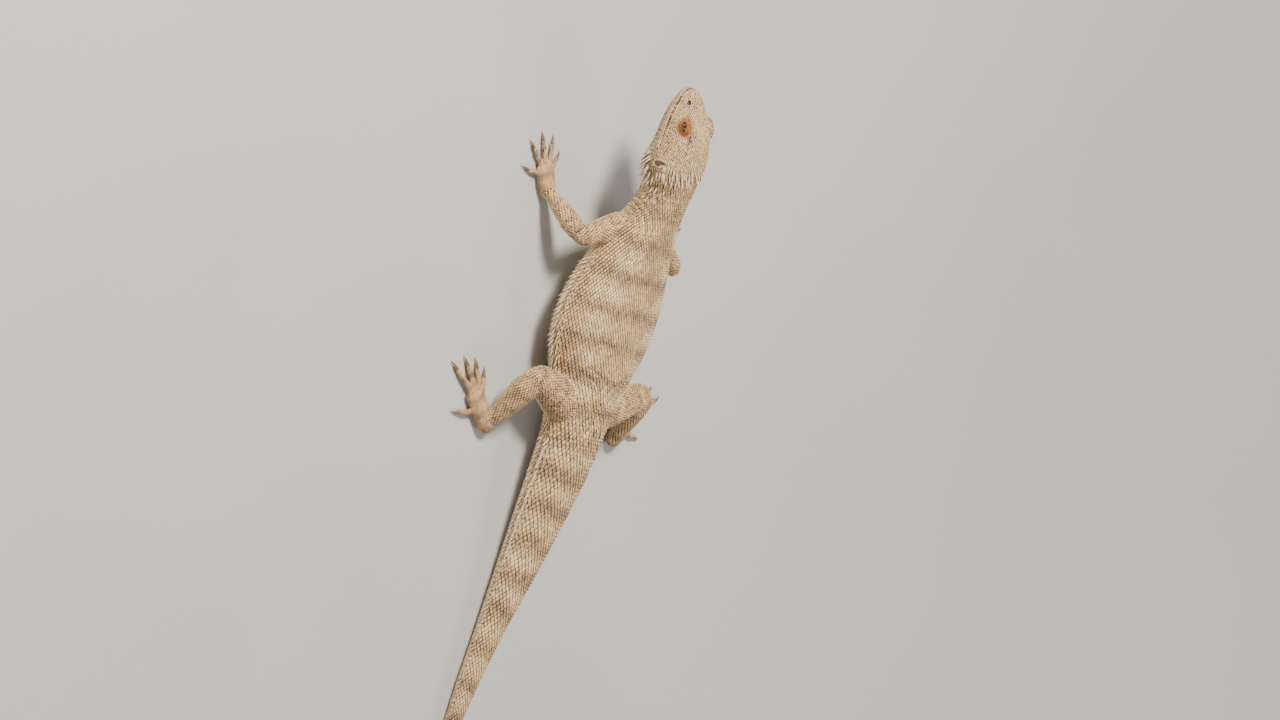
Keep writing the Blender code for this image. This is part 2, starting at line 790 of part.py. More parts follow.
def foot_body(name, points, kind, side, grown=0.0):
    """The palm or sole from its heel, or a copy grown all round for cutting the leg's end."""
    last = (len(points) - 1) * STEPS_PER_SPAN
    stops = [foot_point(points, kind, side, i / STEPS_PER_SPAN) for i in range(last + 1)]
    rings = []
    for i, (place, half_width, half_depth) in enumerate(stops):
        before, after = stops[max(i - 1, 0)][0], stops[min(i + 1, last)][0]
        forward = (after - before).normalized()
        left = UP.cross(forward).normalized()
        axes = Axes(place, forward, left, forward.cross(left))
        shift = -grown if i == 0 else grown if i == last else 0.0
        rings.append([
            axes.at(shift, (half_width + grown) * math.cos(angle),
                    (half_depth + grown) * math.sin(angle))
            for angle in (math.tau * k / LEG_SIDES for k in range(LEG_SIDES))
        ])
    return loft(name, rings)


def digit_path(points, kind, side, digit):
    """Points and radii of a finger's or toe's middle line, from inside the foot to its tip."""
    end = foot_point(points, kind, side, len(points) - 1)[0]
    before = foot_point(points, kind, side, len(points) - 1.3)[0]
    foot = end - before
    foot.z = 0.0
    foot.normalize()
    outer = Vector((-foot.y, foot.x, 0.0))
    outer *= math.copysign(1.0, outer.x * side)
    turn = math.radians(digit.turn)
    way = foot * math.cos(turn) + outer * math.sin(turn)
    root = end - foot * (digit.start + 0.0030) + outer * digit.offset
    radius = DIGIT_RADIUS[kind]
    tip_radius = radius * DIGIT_TAPER
    reach = digit.length + 0.0030
    path = []
    for i in range(DIGIT_STEPS + 1):
        t = i / DIGIT_STEPS
        size = radius + (tip_radius - radius) * t
        bend = foot.lerp(way, 0.35 + 0.65 * min(t * 1.6, 1.0)).normalized()
        place = root + bend * reach * t
        place.z = size * 0.9 + DIGIT_ARCH * math.sin(math.pi * t) ** 2
        path.append((place, size))
    return path


def tube_rings(path, sides, flat=1.0):
    """Rings square to a path of (point, radius)."""
    rings = []
    for i, (place, radius) in enumerate(path):
        before = path[max(i - 1, 0)][0]
        after = path[min(i + 1, len(path) - 1)][0]
        forward = (after - before).normalized()
        left = UP.cross(forward).normalized()
        axes = Axes(place, forward, left, forward.cross(left))
        rings.append([
            axes.at(0.0, radius * math.cos(angle), radius * flat * math.sin(angle))
            for angle in (math.tau * k / sides for k in range(sides))
        ])
    return rings


def claw_path(kind, tip, way):
    """A hooked path that leaves a digit's end squarely and drops towards the floor."""
    length = CLAW_LENGTH[kind]
    root = CLAW_ROOT * DIGIT_RADIUS[kind]
    level = Vector((way.x, way.y, 0.0)).normalized()
    place = tip + way * GAP
    path = [(place, root)]
    reached = 0.0
    for share, drop in CLAW_BENDS:
        reached += share
        step = way if drop == 0 else level * math.cos(drop) - UP * math.sin(drop)
        place = place + step * length * share
        path.append((place, root * (1 - reached) ** 0.8 + CLAW_POINT))
    lowest = min(point.z - radius * 1.2 for point, radius in path[1:])
    lift = max(0.0, GAP - lowest)
    count = len(path) - 1
    return [(point + UP * lift * (i / count), radius) for i, (point, radius) in
            enumerate(path)]


def build_foot(points, kind, side, limb):
    """The palm or sole with its five digits fused, and the five claws."""
    name = f"{limb}_{SIDE_NAMES[side]}"
    sole = foot_body(name, points, kind, side)
    digits, claws = [], []
    for number, digit in enumerate(FINGERS if kind == "fore" else TOES, start=1):
        path = digit_path(points, kind, side, digit)
        digits.append(loft("digit", tube_rings(path, DIGIT_SIDES)))
        tip, before = path[-1][0], path[-2][0]
        way = (tip - before).normalized()
        claw = loft(f"claw_{limb}_{SIDE_NAMES[side]}_{number}",
                    tube_rings(claw_path(kind, tip, way), CLAW_SIDES, 1.15))
        claws.append(claw)
    foot = boolean(sole, "UNION", digits)
    return [boolean(foot, "DIFFERENCE", [floor_cutter()])], claws


def build_leg(foot_points, kind, side, names):
    """(flesh parts, claws) of one leg."""
    upper, lower, limb = names
    joints = leg_joints(kind, side)
    span = (TAIL_MIDDLE_FRONT, 0.05) if kind == "hind" else (0.05, HEAD_JOINT - 0.004)
    parts = []
    for number, name in enumerate((upper, lower)):
        full = f"{name}_{SIDE_NAMES[side]}"
        part = leg_bone(full, LEG_PROFILES[name], joints[number], joints[number + 1])
        spines = leg_spines(name, side, joints[number], joints[number + 1])
        if spines:
            part = boolean(part, "UNION", spines)
        if name == upper:
            cutters = [trunk_clearance(*span)]
        else:
            cutters = [
                foot_body("foot_clearance", foot_points, kind, side, GAP),
                leg_bone("knee_clearance", LEG_PROFILES[upper], joints[0], joints[1], GAP),
            ]
        parts.append(boolean(part, "DIFFERENCE", cutters))
    feet, claws = build_foot(foot_points, kind, side, limb)
    return parts + feet, claws


def add(parts, collection, material, parent):
    for part in parts:
        collection.objects.link(part)
        part.data.materials.clear()
        part.data.materials.append(material)
        part.data.shade_smooth()
        part.data.set_sharp_from_angle(angle=math.radians(50))
        part.parent = parent


def centre_on_floor(parent, parts):
    """Moves the animal so that the middle of its box is over the origin."""
    bpy.context.view_layer.update()
    points = [part.matrix_world @ Vector(corner) for part in parts for corner in part.bound_box]
    for axis in (0, 1):
        values = [point[axis] for point in points]
        parent.location[axis] = -(min(values) + max(values)) / 2


def main():
    clear_scene()
    random.seed(7)
    collection = make_collection("central_bearded_dragon")
    parent = bpy.data.objects.new("dragon", None)
    collection.objects.link(parent)
    materials = {name: make_material(name) for name in FINISHES}
    spines = trunk_and_head_spines()
    flesh = [build_head(spines["head"]), build_jaw(spines["jaw_and_beard"])]
    flesh += build_trunk(spines)
    claws = []
    for side in (LEFT, RIGHT):
        for foot_points, kind, names in (
            (PALM, "fore", ("upper_arm", "forearm", "hand")),
            (SOLE, "hind", ("thigh", "shin", "foot")),
        ):
            more_flesh, more_claws = build_leg(foot_points, kind, side, names)
            flesh += more_flesh
            claws += more_claws
    eyes = [build_eye(side) for side in (LEFT, RIGHT)]
    drums = [build_eardrum(side) for side in (LEFT, RIGHT)]
    add(flesh, collection, materials["skin"], parent)
    add(claws, collection, materials["horn"], parent)
    add(eyes, collection, materials["eye"], parent)
    add(drums, collection, materials["eardrum"], parent)
    centre_on_floor(parent, flesh + claws)


main()
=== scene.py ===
"""The looks of a life-size central bearded dragon, standing with its tail laid on the floor.

One skin takes the place of every solid of flesh. Scales, spines, lids, eyes, eardrums and claws are
separate pieces over it. Metres throughout; the animal faces -Y and its left side is +X.
"""

from __future__ import annotations

import json
import logging
import math
from dataclasses import dataclass, field
from enum import Enum

import bmesh
import bpy
import numpy as np
from mathutils import Matrix, Vector, noise
from mathutils.bvhtree import BVHTree
from mathutils.kdtree import KDTree

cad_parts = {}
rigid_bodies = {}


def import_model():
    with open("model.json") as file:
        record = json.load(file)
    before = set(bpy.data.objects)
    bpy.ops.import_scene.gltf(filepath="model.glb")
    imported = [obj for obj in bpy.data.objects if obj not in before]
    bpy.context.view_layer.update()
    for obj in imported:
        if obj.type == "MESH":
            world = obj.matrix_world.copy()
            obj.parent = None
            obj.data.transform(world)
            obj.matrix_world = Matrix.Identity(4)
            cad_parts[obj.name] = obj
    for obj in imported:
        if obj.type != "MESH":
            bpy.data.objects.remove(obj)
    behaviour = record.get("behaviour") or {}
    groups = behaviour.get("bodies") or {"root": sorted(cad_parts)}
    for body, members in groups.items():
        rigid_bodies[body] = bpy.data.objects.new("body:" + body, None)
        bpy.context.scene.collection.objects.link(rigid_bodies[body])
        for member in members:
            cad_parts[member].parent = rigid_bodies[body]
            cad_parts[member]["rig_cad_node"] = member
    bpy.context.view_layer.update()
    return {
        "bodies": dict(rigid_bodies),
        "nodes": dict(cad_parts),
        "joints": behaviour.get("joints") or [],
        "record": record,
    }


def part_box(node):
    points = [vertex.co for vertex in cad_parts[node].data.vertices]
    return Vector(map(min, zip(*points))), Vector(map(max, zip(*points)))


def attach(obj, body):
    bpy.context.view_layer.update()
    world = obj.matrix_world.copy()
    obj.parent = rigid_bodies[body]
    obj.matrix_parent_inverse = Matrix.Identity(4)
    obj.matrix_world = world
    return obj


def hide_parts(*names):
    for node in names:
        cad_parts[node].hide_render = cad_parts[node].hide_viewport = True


Array = np.ndarray
Piece = bpy.types.Object
Pair = tuple[float, float]
Triple = tuple[float, float, float]
Table = tuple[tuple[float, ...], ...]

LOG = logging.getLogger("bearded_dragon")
BODY = "root"
UP = np.array((0.0, 0.0, 1.0))
COAT_DEPTH = 0.00035


class Side(Enum):
    """A side of the animal, with the sign of its X."""

    LEFT = 1
    RIGHT = -1

    @property
    def label(self) -> str:
        """The side's word in the names of pieces."""
        return self.name.lower()


class Build(Enum):
    """How a scale is built."""

    KEELED = "keeled"
    SMOOTH = "smooth"
    GRANULE = "granule"


def unit(vectors: Array) -> Array:
    """Vectors of length one.

    Args:
        vectors: any array whose last axis has three parts.

    Returns:
        The same directions, each of length one.
    """
    return vectors / np.maximum(np.linalg.norm(vectors, axis=-1, keepdims=True), 1e-12)


def smooth_step(low: float, high: float, values: Array) -> Array:
    """Zero at low, one at high and a smooth rise between.

    Args:
        low: where the rise starts; it may be above high for a fall.
        high: where the rise ends.
        values: the values to weigh.

    Returns:
        Weights from 0 to 1.
    """
    t = np.clip((values - low) / (high - low), 0.0, 1.0)
    return t * t * (3 - 2 * t)


def hill(centre: float, width: float, values: Array) -> Array:
    """A bell curve of height one.

    Args:
        centre: where the top is.
        width: how far from the top the curve has fallen to about 0.37.
        values: where to read it.

    Returns:
        Its heights.
    """
    return np.exp(-(((values - centre) / width) ** 2))


def cloud(places: Array, size: float, seed: float = 0.0) -> Array:
    """Smooth noise about zero.

    Args:
        places: where to read it.
        size: how wide its patches are.
        seed: moves it aside, for another pattern.

    Returns:
        Values from about -1 to 1.
    """
    moved = places / size + seed
    return np.array([noise.noise(Vector(spot)) for spot in moved]) * 1.6


def laid(ways: Array, outward: Array) -> Array:
    """Directions laid flat on a surface.

    Args:
        ways: the directions.
        outward: the surface's outward direction at each.

    Returns:
        Directions of length one, square to the outward ones.
    """
    return unit(ways - outward * (ways * outward).sum(axis=-1, keepdims=True))


def arc_lengths(line: Array) -> Array:
    """How far along a line its points are.

    Args:
        line: the points, in order.

    Returns:
        One distance for each, from 0 at the first.
    """
    steps = np.linalg.norm(np.diff(line, axis=0), axis=1)
    return np.concatenate([[0.0], np.cumsum(steps)])


def tree_of(places: Array) -> KDTree:
    """A search tree over places.

    Args:
        places: the places.

    Returns:
        The tree, which finds the number of each.
    """
    tree = KDTree(len(places))
    for i, place in enumerate(places):
        tree.insert(place, i)
    tree.balance()
    return tree


@dataclass
class Frames:
    """Places along a middle line, each with its forward, left and up directions."""

    origin: Array
    forward: Array
    left: Array
    up: Array

    def at(self, left: Array, up: Array) -> Array:
        """The points that far to the left and up from each place."""
        return self.origin + self.left * left[..., None] + self.up * up[..., None]


@dataclass
class Stations:
    """Cross-sections along a line, joined by smooth cubic curves.

    Each row holds the place along, then sideways, height, half width, above, below, squareness
    and how much narrower the top is.
    """

    rows: Table
    end_slopes: dict[int, float] = field(default_factory=dict)

    def read(self, along: Array) -> Array:
        """The section fields at places along.

        Args:
            along: the places.

        Returns:
            One row of seven fields for each place.
        """
        table = np.array(self.rows)
        places, values = table[:, 0], table[:, 1:]
        slopes = np.empty_like(values)
        slopes[1:-1] = (values[2:] - values[:-2]) / (places[2:] - places[:-2])[:, None]
        slopes[0] = (values[1] - values[0]) / (places[1] - places[0])
        slopes[-1] = (values[-1] - values[-2]) / (places[-1] - places[-2])
        for number, slope in self.end_slopes.items():
            slopes[-1, number] = slope
        index = np.clip(np.searchsorted(places, along, side="right") - 1, 0, len(places) - 2)
        span = (places[index + 1] - places[index])[:, None]
        t = (along - places[index])[:, None] / span
        return (
            (2 * t**3 - 3 * t**2 + 1) * values[index]
            + (t**3 - 2 * t**2 + t) * slopes[index] * span
            + (3 * t**2 - 2 * t**3) * values[index + 1]
            + (t**3 - t**2) * slopes[index + 1] * span
        )


def outline(fields: Array, around: Array, grown: float) -> tuple[Array, Array]:
    """Points on the outline of sections.

    Args:
        fields: one row of section fields for each point.
        around: each point's angle from the left edge, over the top.
        grown: how far the outline stands outside the section.

    Returns:
        How far each point is to the left and up.
    """
    half_width, above, below = (fields[:, i] + grown for i in (2, 3, 4))
    power = 2 / fields[:, 5]
    rise, across = np.sin(around), np.cos(around)
    share = np.sign(rise) * np.abs(rise) ** power
    reach = np.where(rise > 0, above, below)
    narrowing = 1 - fields[:, 6] * np.maximum(share, 0.0) ** 1.5
    return half_width * np.sign(across) * np.abs(across) ** power * narrowing, share * reach


class Tube:
    """A length of flesh whose skin is read by a place along it and an angle round it."""

    first: float
    last: float

    def points(self, along: Array, around: Array) -> Array:
        """The points of the skin there."""
        raise NotImplementedError

    def rings(self, step: float, sides: int) -> Array:
        """Rings of points from the first place to the last.

        Args:
            step: about how far apart they are.
            sides: how many points each has.

        Returns:
            An array of rings by points by three.
        """
        count = max(3, int(math.ceil((self.last - self.first) / step)))
        along = np.repeat(np.linspace(self.first, self.last, count + 1), sides)
        around = np.tile(np.linspace(0, math.tau, sides, endpoint=False), count + 1)
        return self.points(along, around).reshape(count + 1, sides, 3)


@dataclass
class Trunk(Tube):
    """The body from the tail's tip to the snout, as one tube."""

    head_length: float = 0.050
    vent: float = -0.016
    head_turn: float = math.radians(15)
    head_raise: float = math.radians(9)
    inset: float = COAT_DEPTH
    trunk_rows: Table = (
        (-0.266, 0.022, 0.0011, 0.0011, 0.0011, 0.0013, 2.0, 0.0),
        (-0.225, 0.025, 0.0030, 0.0033, 0.0031, 0.0032, 2.0, 0.0),
        (-0.180, 0.022, 0.0048, 0.0058, 0.0052, 0.0050, 2.0, 0.0),
        (-0.135, 0.014, 0.0067, 0.0090, 0.0074, 0.0070, 2.1, 0.0),
        (-0.095, 0.006, 0.0090, 0.0138, 0.0100, 0.0093, 2.2, 0.0),
        (-0.064, 0.002, 0.0122, 0.0172, 0.0118, 0.0108, 2.3, 0.0),
        (-0.036, 0.0, 0.0162, 0.0200, 0.0134, 0.0124, 2.3, 0.04),
        (-0.016, 0.0, 0.0185, 0.0212, 0.0152, 0.0135, 2.3, 0.06),
        (0.000, 0.0, 0.0192, 0.0238, 0.0172, 0.0142, 2.3, 0.08),
        (0.018, 0.0, 0.0196, 0.0300, 0.0190, 0.0148, 2.2, 0.10),
        (0.040, 0.0, 0.0208, 0.0385, 0.0204, 0.0152, 2.2, 0.12),
        (0.062, 0.0, 0.0238, 0.0390, 0.0200, 0.0158, 2.2, 0.12),
        (0.084, 0.0, 0.0284, 0.0325, 0.0180, 0.0160, 2.2, 0.10),
        (0.102, 0.0, 0.0336, 0.0245, 0.0158, 0.0156, 2.2, 0.08),
        (0.116, 0.0004, 0.0388, 0.0188, 0.0140, 0.0142, 2.2, 0.08),
        (0.130, 0.0020, 0.0444, 0.0168, 0.0132, 0.0130, 2.3, 0.16),
        (0.142, 0.0050, 0.0476, 0.0188, 0.0154, 0.0128, 2.5, 0.28),
    )
    head_rows: Table = (
        (0.0000, 0.0, 0.0000, 0.0188, 0.0154, 0.0128, 2.5, 0.28),
        (0.0050, 0.0, 0.0002, 0.0208, 0.0162, 0.0130, 2.5, 0.32),
        (0.0100, 0.0, 0.0006, 0.0208, 0.0165, 0.0126, 2.5, 0.30),
        (0.0160, 0.0, 0.0010, 0.0188, 0.0163, 0.0118, 2.5, 0.25),
        (0.0220, 0.0, 0.0006, 0.0168, 0.0163, 0.0106, 2.5, 0.18),
        (0.0280, 0.0, -0.0002, 0.0146, 0.0161, 0.0094, 2.5, 0.13),
        (0.0340, 0.0, -0.0006, 0.0124, 0.0146, 0.0083, 2.5, 0.13),
        (0.0400, 0.0, -0.0004, 0.0101, 0.0117, 0.0070, 2.4, 0.15),
        (0.0450, 0.0, 0.0000, 0.0078, 0.0086, 0.0056, 2.3, 0.16),
        (0.0485, 0.0, 0.0002, 0.0052, 0.0055, 0.0040, 2.2, 0.12),
        (0.0500, 0.0, 0.0002, 0.0026, 0.0026, 0.0022, 2.0, 0.08),
    )

    def __post_init__(self) -> None:
        """Sets the tube's ends and where the animal stands in the frame."""
        self.joint = self.trunk_rows[-1][0]
        self.first = self.trunk_rows[0][0]
        self.last = self.joint + self.head_length
        slopes = {0: math.tan(self.head_turn), 1: math.tan(self.head_raise)}
        self.trunk = Stations(self.trunk_rows, slopes)
        self.head = Stations(self.head_rows)
        self.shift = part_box("tail_end")[1].y + self.first

    def frames(self, along: Array) -> Frames:
        """The backbone's places and directions.

        Args:
            along: places forward from the hips.

        Returns:
            One frame for each.
        """
        def place(at: Array) -> Array:
            """The backbone's points, as far as the neck's end."""
            fields = self.trunk.read(at)
            return np.stack([fields[:, 0], self.shift - at, fields[:, 1]], axis=1)

        step = 0.0005
        body = np.minimum(along, self.joint)
        ahead = place(np.minimum(body + step, self.joint))
        forward = unit(ahead - place(np.maximum(body - step, self.first)))
        last = unit(np.array((math.tan(self.head_turn), -1.0, math.tan(self.head_raise))))
        forward = np.where((body > self.joint - step)[:, None], last, forward)
        left = unit(np.cross(UP, forward))
        origin = place(body) + forward * (along - body)[:, None]
        return Frames(origin, forward, left, np.cross(forward, left))

    def fields(self, along: Array) -> Array:
        """The section fields, from the head's own stations past the neck's end.

        Args:
            along: places forward from the hips.

        Returns:
            One row of fields for each; their height is over the backbone.
        """
        in_head = along > self.joint
        ahead = np.clip(along - self.joint, 0.0, self.head_length)
        body = self.trunk.read(np.minimum(along, self.joint))
        body[:, 1] = 0.0
        return np.where(in_head[:, None], self.head.read(ahead), body)

    def points(self, along: Array, around: Array) -> Array:
        """The points of the skin there.

        Args:
            along: places forward from the hips; those past the neck's end are on the head.
            around: angles from the left edge, over the top.

        Returns:
            One point for each.
        """
        fields = self.fields(along)
        left, up = outline(fields, around, -self.inset)
        return self.frames(along).at(left, up + fields[:, 1])

    def head_axes(self) -> tuple[Array, Array]:
        """The head's joint, and rows with its forward, left and up directions."""
        frame = self.frames(np.array([self.joint]))
        return frame.origin[0], np.stack([frame.forward[0], frame.left[0], frame.up[0]])

    def head_way(self, way: Triple, side: Side = Side.LEFT) -> Array:
        """A direction in the head's own forward, left and up, mirrored for the right side."""
        _, (forward, left, up) = self.head_axes()
        return forward * way[0] + left * (way[1] * side.value) + up * way[2]

    def head_point(self, spot: Triple, side: Side = Side.LEFT) -> Array:
        """A point in the head's own forward, left and up, mirrored for the right side."""
        return self.head_axes()[0] + self.head_way(spot, side)

    def head_places(self, points: Array) -> Array:
        """World points as the head's own forward, left and up from its joint."""
        origin, axes = self.head_axes()
        return (points - origin) @ axes.T

    def around_at_height(self, along: float, height: float) -> float:
        """The angle round the left side at which the skin has a height.

        Args:
            along: the place forward from the hips.
            height: how far above the widest level.

        Returns:
            The angle from the left edge.
        """
        fields = self.fields(np.array([along]))[0]
        reach = (fields[3] if height > 0 else fields[4]) - self.inset
        share = min(abs(height) / reach, 1.0)
        return math.copysign(math.asin(share ** (fields[5] / 2)), height)


@dataclass
class Bone(Tube):
    """A straight length of a leg between two joints."""

    start: Array
    end: Array
    profile: tuple[Pair, ...]
    flatness: float = 0.94
    inset: float = COAT_DEPTH

    def __post_init__(self) -> None:
        """Sets the tube's ends as shares of the bone."""
        self.length = float(np.linalg.norm(self.end - self.start))
        self.first = self.profile[0][0] * self.length
        self.last = self.profile[-1][0] * self.length

    def points(self, along: Array, around: Array) -> Array:
        """The points of the skin there.

        Args:
            along: distances from the bone's start.
            around: angles from the left edge, over the top.

        Returns:
            One point for each.
        """
        table = np.array(self.profile)
        radius = np.interp(along / self.length, table[:, 0], table[:, 1]) - self.inset
        forward = unit(self.end - self.start)
        left = unit(np.cross(UP, forward))
        up = np.cross(forward, left)
        wide = (radius * np.cos(around))[:, None] * left
        high = (radius * self.flatness * np.sin(around))[:, None] * up
        return self.start + forward * along[:, None] + wide + high


@dataclass
class Pad(Tube):
    """The palm or the sole, or a digit: a flattened tube along a path that may bend."""

    path: Array
    half_widths: Array
    half_depths: Array
    inset: float = COAT_DEPTH * 0.7

    def __post_init__(self) -> None:
        """Measures the path."""
        self.stops = arc_lengths(self.path)
        self.first, self.last = 0.0, float(self.stops[-1])

    def points(self, along: Array, around: Array) -> Array:
        """The points of the skin there.

        Args:
            along: distances from the path's start.
            around: angles from the left edge, over the top.

        Returns:
            One point for each.
        """
        def place(at: Array) -> Array:
            """The path's points."""
            return np.stack([np.interp(at, self.stops, self.path[:, i]) for i in range(3)], axis=1)

        step = self.last * 0.06
        forward = unit(
            place(np.minimum(along + step, self.last)) - place(np.maximum(along - step, 0.0))
        )
        left = unit(np.cross(UP, forward))
        up = np.cross(forward, left)
        wide = np.interp(along, self.stops, self.half_widths) - self.inset
        deep = np.interp(along, self.stops, self.half_depths) - self.inset
        return (
            place(along)
            + left * (wide * np.cos(around))[:, None]
            + up * (deep * np.sin(around))[:, None]
        )


@dataclass
class Roots:
    """Where scales grow: places on the skin, each with its directions, size and build."""

    place: Array
    outward: Array
    backward: Array
    size: Array
    patch: Array
    part: Array
    along: Array
    build: Array

    FIELDS = ("place", "outward", "backward", "size", "patch", "part", "along", "build")

    def kept(self, mask: Array) -> Roots:
        """Only the roots that the mask or index picks."""
        return Roots(*(getattr(self, name)[mask] for name in self.FIELDS))

    @staticmethod
    def joined(several: list[Roots]) -> Roots:
        """All the roots of several sets, in order."""
        return Roots(*(np.concatenate([getattr(r, name) for r in several]) for name in Roots.FIELDS))


@dataclass
class Flesh:
    """The animal's body, legs and digits as tubes."""

    joints: dict[str, tuple[Triple, ...]] = field(default_factory=lambda: {
        "fore": ((0.012, 0.107, 0.0300), (0.0450, 0.0915, 0.0270), (0.0552, 0.1080, 0.0046)),
        "hind": ((0.008, -0.002, 0.0200), (0.0500, 0.0140, 0.0250), (0.0585, -0.0175, 0.0050)),
    })
    stride: dict[tuple[str, Side], float] = field(default_factory=lambda: {
        ("fore", Side.LEFT): 0.006, ("fore", Side.RIGHT): -0.003,
        ("hind", Side.LEFT): -0.003, ("hind", Side.RIGHT): 0.005,
    })
    stride_shares: tuple[float, ...] = (0.0, 0.4, 1.0)
    profiles: dict[str, tuple[Pair, ...]] = field(default_factory=lambda: {
        "upper_arm": (
            (0.0, 0.0086), (0.3, 0.0084), (0.55, 0.0074), (0.78, 0.0066), (0.94, 0.0060),
            (1.05, 0.0046), (1.10, 0.0024),
        ),
        "forearm": (
            (-0.05, 0.0040), (0.08, 0.0056), (0.32, 0.0063), (0.6, 0.0053), (0.84, 0.0042),
            (1.0, 0.0036),
        ),
        "thigh": (
            (0.0, 0.0122), (0.25, 0.0124), (0.48, 0.0112), (0.7, 0.0096), (0.88, 0.0082),
            (1.0, 0.0066), (1.06, 0.0040),
        ),
        "shin": (
            (-0.05, 0.0050), (0.07, 0.0070), (0.30, 0.0079), (0.58, 0.0066), (0.84, 0.0050),
            (1.0, 0.0042),
        ),
    })
    pads: dict[str, Table] = field(default_factory=lambda: {
        "fore": (
            (0.0543, 0.1058, 0.0029, 0.0030, 0.0027),
            (0.0556, 0.1084, 0.0038, 0.0050, 0.0041),
            (0.0590, 0.1158, 0.0033, 0.0064, 0.0036),
            (0.0622, 0.1228, 0.0024, 0.0056, 0.0027),
        ),
        "hind": (
            (0.0562, -0.0212, 0.0031, 0.0032, 0.0029),
            (0.0588, -0.0182, 0.0042, 0.0053, 0.0045),
            (0.0664, -0.0098, 0.0037, 0.0062, 0.0040),
            (0.0745, -0.0010, 0.0026, 0.0064, 0.0029),
        ),
    })
    digits: dict[str, Table] = field(default_factory=lambda: {
        "fore": (
            (-52, 0.0085, 0.0040, -0.0030), (-24, 0.0120, 0.0010, -0.0026),
            (-2, 0.0138, 0.0000, -0.0002), (20, 0.0134, 0.0006, 0.0022),
            (54, 0.0098, 0.0044, 0.0034),
        ),
        "hind": (
            (-40, 0.0088, 0.0040, -0.0036), (-19, 0.0126, 0.0010, -0.0030),
            (-3, 0.0170, 0.0000, -0.0008), (12, 0.0212, 0.0004, 0.0018),
            (52, 0.0120, 0.0110, 0.0034),
        ),
    })
    digit_radius: dict[str, float] = field(
        default_factory=lambda: {"fore": 0.00185, "hind": 0.00205}
    )
    digit_taper: float = 0.72
    digit_arch: float = 0.0012
    digit_overlap: float = 0.0030
    knuckle: float = 0.07
    knuckle_waves: float = 3.2

    def __post_init__(self) -> None:
        """Builds every tube, from the trunk to the last toe."""
        self.trunk = Trunk()
        self.tubes: dict[str, Tube] = {"trunk": self.trunk}
        for kind, names in (("fore", ("upper_arm", "forearm")), ("hind", ("thigh", "shin"))):
            for side in Side:
                joints = self.leg_joints(kind, side)
                for number, name in enumerate(names):
                    bone = Bone(joints[number], joints[number + 1], self.profiles[name])
                    self.tubes[f"{name}_{side.label}"] = bone
                pad = self.pad(kind, side)
                self.tubes[f"{kind}_pad_{side.label}"] = pad
                for number in range(5):
                    digit = self.digit(kind, side, pad, number)
                    self.tubes[f"{kind}_digit_{side.label}_{number + 1}"] = digit

    def leg_joints(self, kind: str, side: Side) -> list[Array]:
        """The three joints of a leg.

        Args:
            kind: fore or hind.
            side: the animal's side.

        Returns:
            Their places, from the body outward.
        """
        step = self.stride[kind, side]
        return [
            np.array((out * side.value, self.trunk.shift - along - share * step, height))
            for (out, along, height), share in zip(self.joints[kind], self.stride_shares)
        ]

    def pad(self, kind: str, side: Side) -> Pad:
        """The palm or sole, with its path made smooth.

        Args:
            kind: fore or hind.
            side: the animal's side.

        Returns:
            Its tube, from the wrist or heel to the digits.
        """
        rows = np.array(self.pads[kind])
        near = np.concatenate([rows[:1], rows, rows[-1:]])
        found = []
        for i in range(1, len(near) - 2):
            a, b, c, d = near[i - 1:i + 3]
            for t in np.linspace(0, 1, 6, endpoint=i == len(near) - 3):
                found.append(0.5 * (
                    2 * b + (c - a) * t + (2 * a - 5 * b + 4 * c - d) * t**2
                    + (3 * b - a - 3 * c + d) * t**3
                ))
        found = np.array(found)
        path = np.stack([
            found[:, 0] * side.value,
            self.trunk.shift - found[:, 1] - self.stride[kind, side],
            found[:, 2],
        ], axis=1)
        return Pad(path, found[:, 3], found[:, 4])

    def digit(self, kind: str, side: Side, pad: Pad, number: int) -> Pad:
        """A finger or toe.

        Args:
            kind: fore or hind.
            side: the animal's side.
            pad: the palm or sole that it leaves.
            number: its place, from 0 at the inner side.

        Returns:
            Its tube, from inside the foot to its tip.
        """
        turn, length, start, offset = self.digits[kind][number]
        foot = unit((pad.path[-1] - pad.path[-3]) * (1, 1, 0))
        outer = np.array((-foot[1], foot[0], 0.0))
        outer *= math.copysign(1.0, outer[0] * side.value)
        way = foot * math.cos(math.radians(turn)) + outer * math.sin(math.radians(turn))
        root = pad.path[-1] - foot * (start + self.digit_overlap) + outer * offset
        path, radii = [], []
        for t in np.linspace(0, 1, 11):
            size = self.digit_radius[kind] * (1 + (self.digit_taper - 1) * t)
            size *= 1 + self.knuckle * math.sin(self.knuckle_waves * math.tau * t)
            blend = 0.35 + 0.65 * min(t * 1.6, 1.0)
            bend = unit(foot + (way - foot) * blend)
            place = root + bend * (length + self.digit_overlap) * t
            place[2] = size * 0.9 + self.digit_arch * math.sin(math.pi * t) ** 2
            path.append(place)
            radii.append(size)
        return Pad(np.array(path), np.array(radii), np.array(radii))


